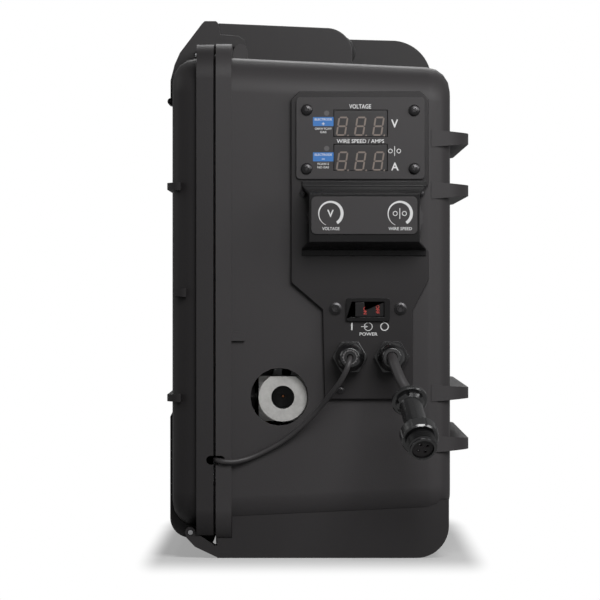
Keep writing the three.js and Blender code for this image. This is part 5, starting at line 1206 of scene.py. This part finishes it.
# %% The connector's thread and pins
plug_axis = (PLUG_FACE - PLUG_BACK).normalized()
plug_place = on_axis(PLUG_BACK, plug_axis)
plug_length = (PLUG_FACE - PLUG_BACK).length / MM
BARREL_RADIUS = 9.7
THREAD_PITCH = 1.9
THREAD_STEPS = ((-0.3, 0), (1.1, 0.5), (1.1, 0.8), (-0.3, 1.3), (-0.3, 0))
PIN_CIRCLE = 3.8
PIN_PROFILE = ((0, 0), (0.95, 0), (0.95, 5.6), (0.6, 6.4), (0, 6.6))
for step in range(5):
    low = plug_length - 10.4 + THREAD_PITCH * step
    profile = [(BARREL_RADIUS + out, low + up) for out, up in THREAD_STEPS]
    turned_piece(f"plug_thread_{step + 1}", profile, plug_place, gland_nylon)
collar = turned_piece("plug_collar", ring_profile(9.5, 13.2, 4, 8, 0.8), plug_place, gland_nylon)
for index in range(4):
    angle = math.radians(45 + 90 * index)
    across, up = PIN_CIRCLE * math.cos(angle), PIN_CIRCLE * math.sin(angle)
    pin_place = plug_place @ Matrix.Translation(Vector((across, up, plug_length - 9)) * MM)
    turned_piece(f"plug_pin_{index + 1}", PIN_PROFILE, pin_place, bright_steel, 16)

# %% The sense lead's clip
CLIP_Y = coil_centre.y / MM - 10
CLIP_FOOT = coil_centre.z / MM - 20
CLIP_LEFT = coil_low.x / MM + 0.4
CLIP_RIGHT = CLIP_LEFT + 6.6
LEG = (
    (5.2, 0), (6.4, 0), (7.6, 2), (4.8, 14), (5.2, 18), (3.6, 26), (1.2, 40),
    (0.3, 40), (1.1, 38.5), (0.3, 37), (1.2, 35.5), (0.5, 34), (1.6, 32), (2.4, 26), (3.8, 18),
    (3.4, 14), (6.2, 3),
)
BOOT = ((3.9, -0.6), (7.4, -0.8), (8.6, 2), (7.4, 9), (4.9, 9), (5.4, 2.4))
PIVOT_RISE = 16
PIVOT_PROFILE = ((0, 0), (1.4, 0), (1.4, 7.2), (0, 7.2))
for name, side in (("left", -1), ("right", 1)):
    for part, half_outline, spread, finish, slot in (
        ("leg", LEG, 0, bright_steel, "steel"),
        ("boot", BOOT, 0.3, grip_rubber, "rubber"),
    ):
        outline = [(CLIP_Y + side * y, CLIP_FOOT + z) for y, z in half_outline]
        x0, x1 = CLIP_LEFT - spread, CLIP_RIGHT + spread
        side_plate(f"clip_{part}_{name}", outline, x0, x1, finish)
pivot_z = CLIP_FOOT + PIVOT_RISE
pivot_place = on_axis(Vector((CLIP_LEFT - 0.3, CLIP_Y, pivot_z)) * MM, Vector((1, 0, 0)))
turned_piece("clip_pivot", PIVOT_PROFILE, pivot_place, bright_steel)
SPRING_RADIUS = 2.4
SPRING_TURNS = 4
SPRING_STEPS = 16
spring_points = []
for step in range(SPRING_TURNS * SPRING_STEPS + 1):
    angle = 2 * math.pi * step / SPRING_STEPS
    across = CLIP_LEFT + 0.8 + 5.0 * step / (SPRING_TURNS * SPRING_STEPS)
    spot = (across, CLIP_Y + SPRING_RADIUS * math.cos(angle), pivot_z + SPRING_RADIUS * math.sin(angle))
    spring_points.append(Vector(spot) * MM)
spring = round_wire("clip_spring", spring_points, 0.4 * MM, sides=8)
spring.data.materials.append(bright_steel)
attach(spring, "case")

# %% The ties round the coil
TIE_THICK = 1.1
TIE_WIDE = 3.0


def tie(name, angle):
    """A flat tie round the coil's section, at an angle about the coil's axis."""
    half_x, half_out = COIL_WIDTH / MM / 2 + 0.1, COIL_DEPTH / MM / 2 + 0.1
    corner = 3.0
    loops = []
    for grow in (0, TIE_THICK):
        loop = []
        for quarter in range(4):
            sign_x = 1 if quarter in (0, 3) else -1
            sign_out = 1 if quarter < 2 else -1
            for k in range(4):
                t = math.radians(90 * quarter + 30 * k)
                loop.append((
                    sign_x * (half_x - corner) + (corner + grow) * math.cos(t),
                    sign_out * (half_out - corner) + (corner + grow) * math.sin(t),
                ))
        loops.append(loop)
    middle_out = coil_outer / MM - COIL_DEPTH / MM / 2
    out = Vector((0, math.cos(angle), math.sin(angle)))
    along = Vector((0, -math.sin(angle), math.cos(angle)))
    work = bmesh.new()
    sheets = []
    for loop in loops:
        for end in (-0.5, 0.5):
            sheet = []
            for x, o in loop:
                step = Vector((x, 0, 0)) + out * (middle_out + o) + along * TIE_WIDE * end
                sheet.append(work.verts.new(coil_centre + step * MM))
            sheets.append(sheet)
    for a, b in ((0, 1), (1, 3), (3, 2), (2, 0)):
        close_loops(work, sheets[a], sheets[b])
    mesh = as_mesh(name, work)
    shade(mesh)
    return to_piece(name, mesh, gland_nylon, "case")


ties = [tie("coil_tie_1", math.radians(30)), tie("coil_tie_2", math.radians(310))]
length_of(sense_route)
length_of(trigger_route)

# %% [markdown]
# ## The words on the rocker
# The rocker is marked in red, turned so that it reads from the top down. Its face is curved, so
# each word is laid on the spot of the face that is found by looking at it from in front.

# %% The rocker's print
rocker_tree = BVHTree.FromObject(skins["power_rocker"], bpy.context.evaluated_depsgraph_get())
ROCKER_WORDS = (("on", "ON", 38.2, 183, 5.3), ("off", "OFF", 47.4, 184, 6.6))
ROCKER_WORD_HEIGHT = 2.6
for name, words, x, z, width in ROCKER_WORDS:
    in_front = Vector((x * MM, -0.4, z * MM))
    spot, normal = rocker_tree.ray_cast(in_front, Vector((0, 1, 0)))[:2]
    word = lettering(
        f"word_{name}", words, (0, 0), ROCKER_WORD_HEIGHT, width, 0,
        finish=red_ink, turn=-90, body="power_rocker",
    )
    facing = Matrix.Rotation(math.atan2(normal.x, -normal.y), 4, "Z")
    word.data.transform(Matrix.Translation(spot + normal * 0.0001) @ facing)
    print(name, [round(v, 4) for v in spot], [round(v, 2) for v in normal])
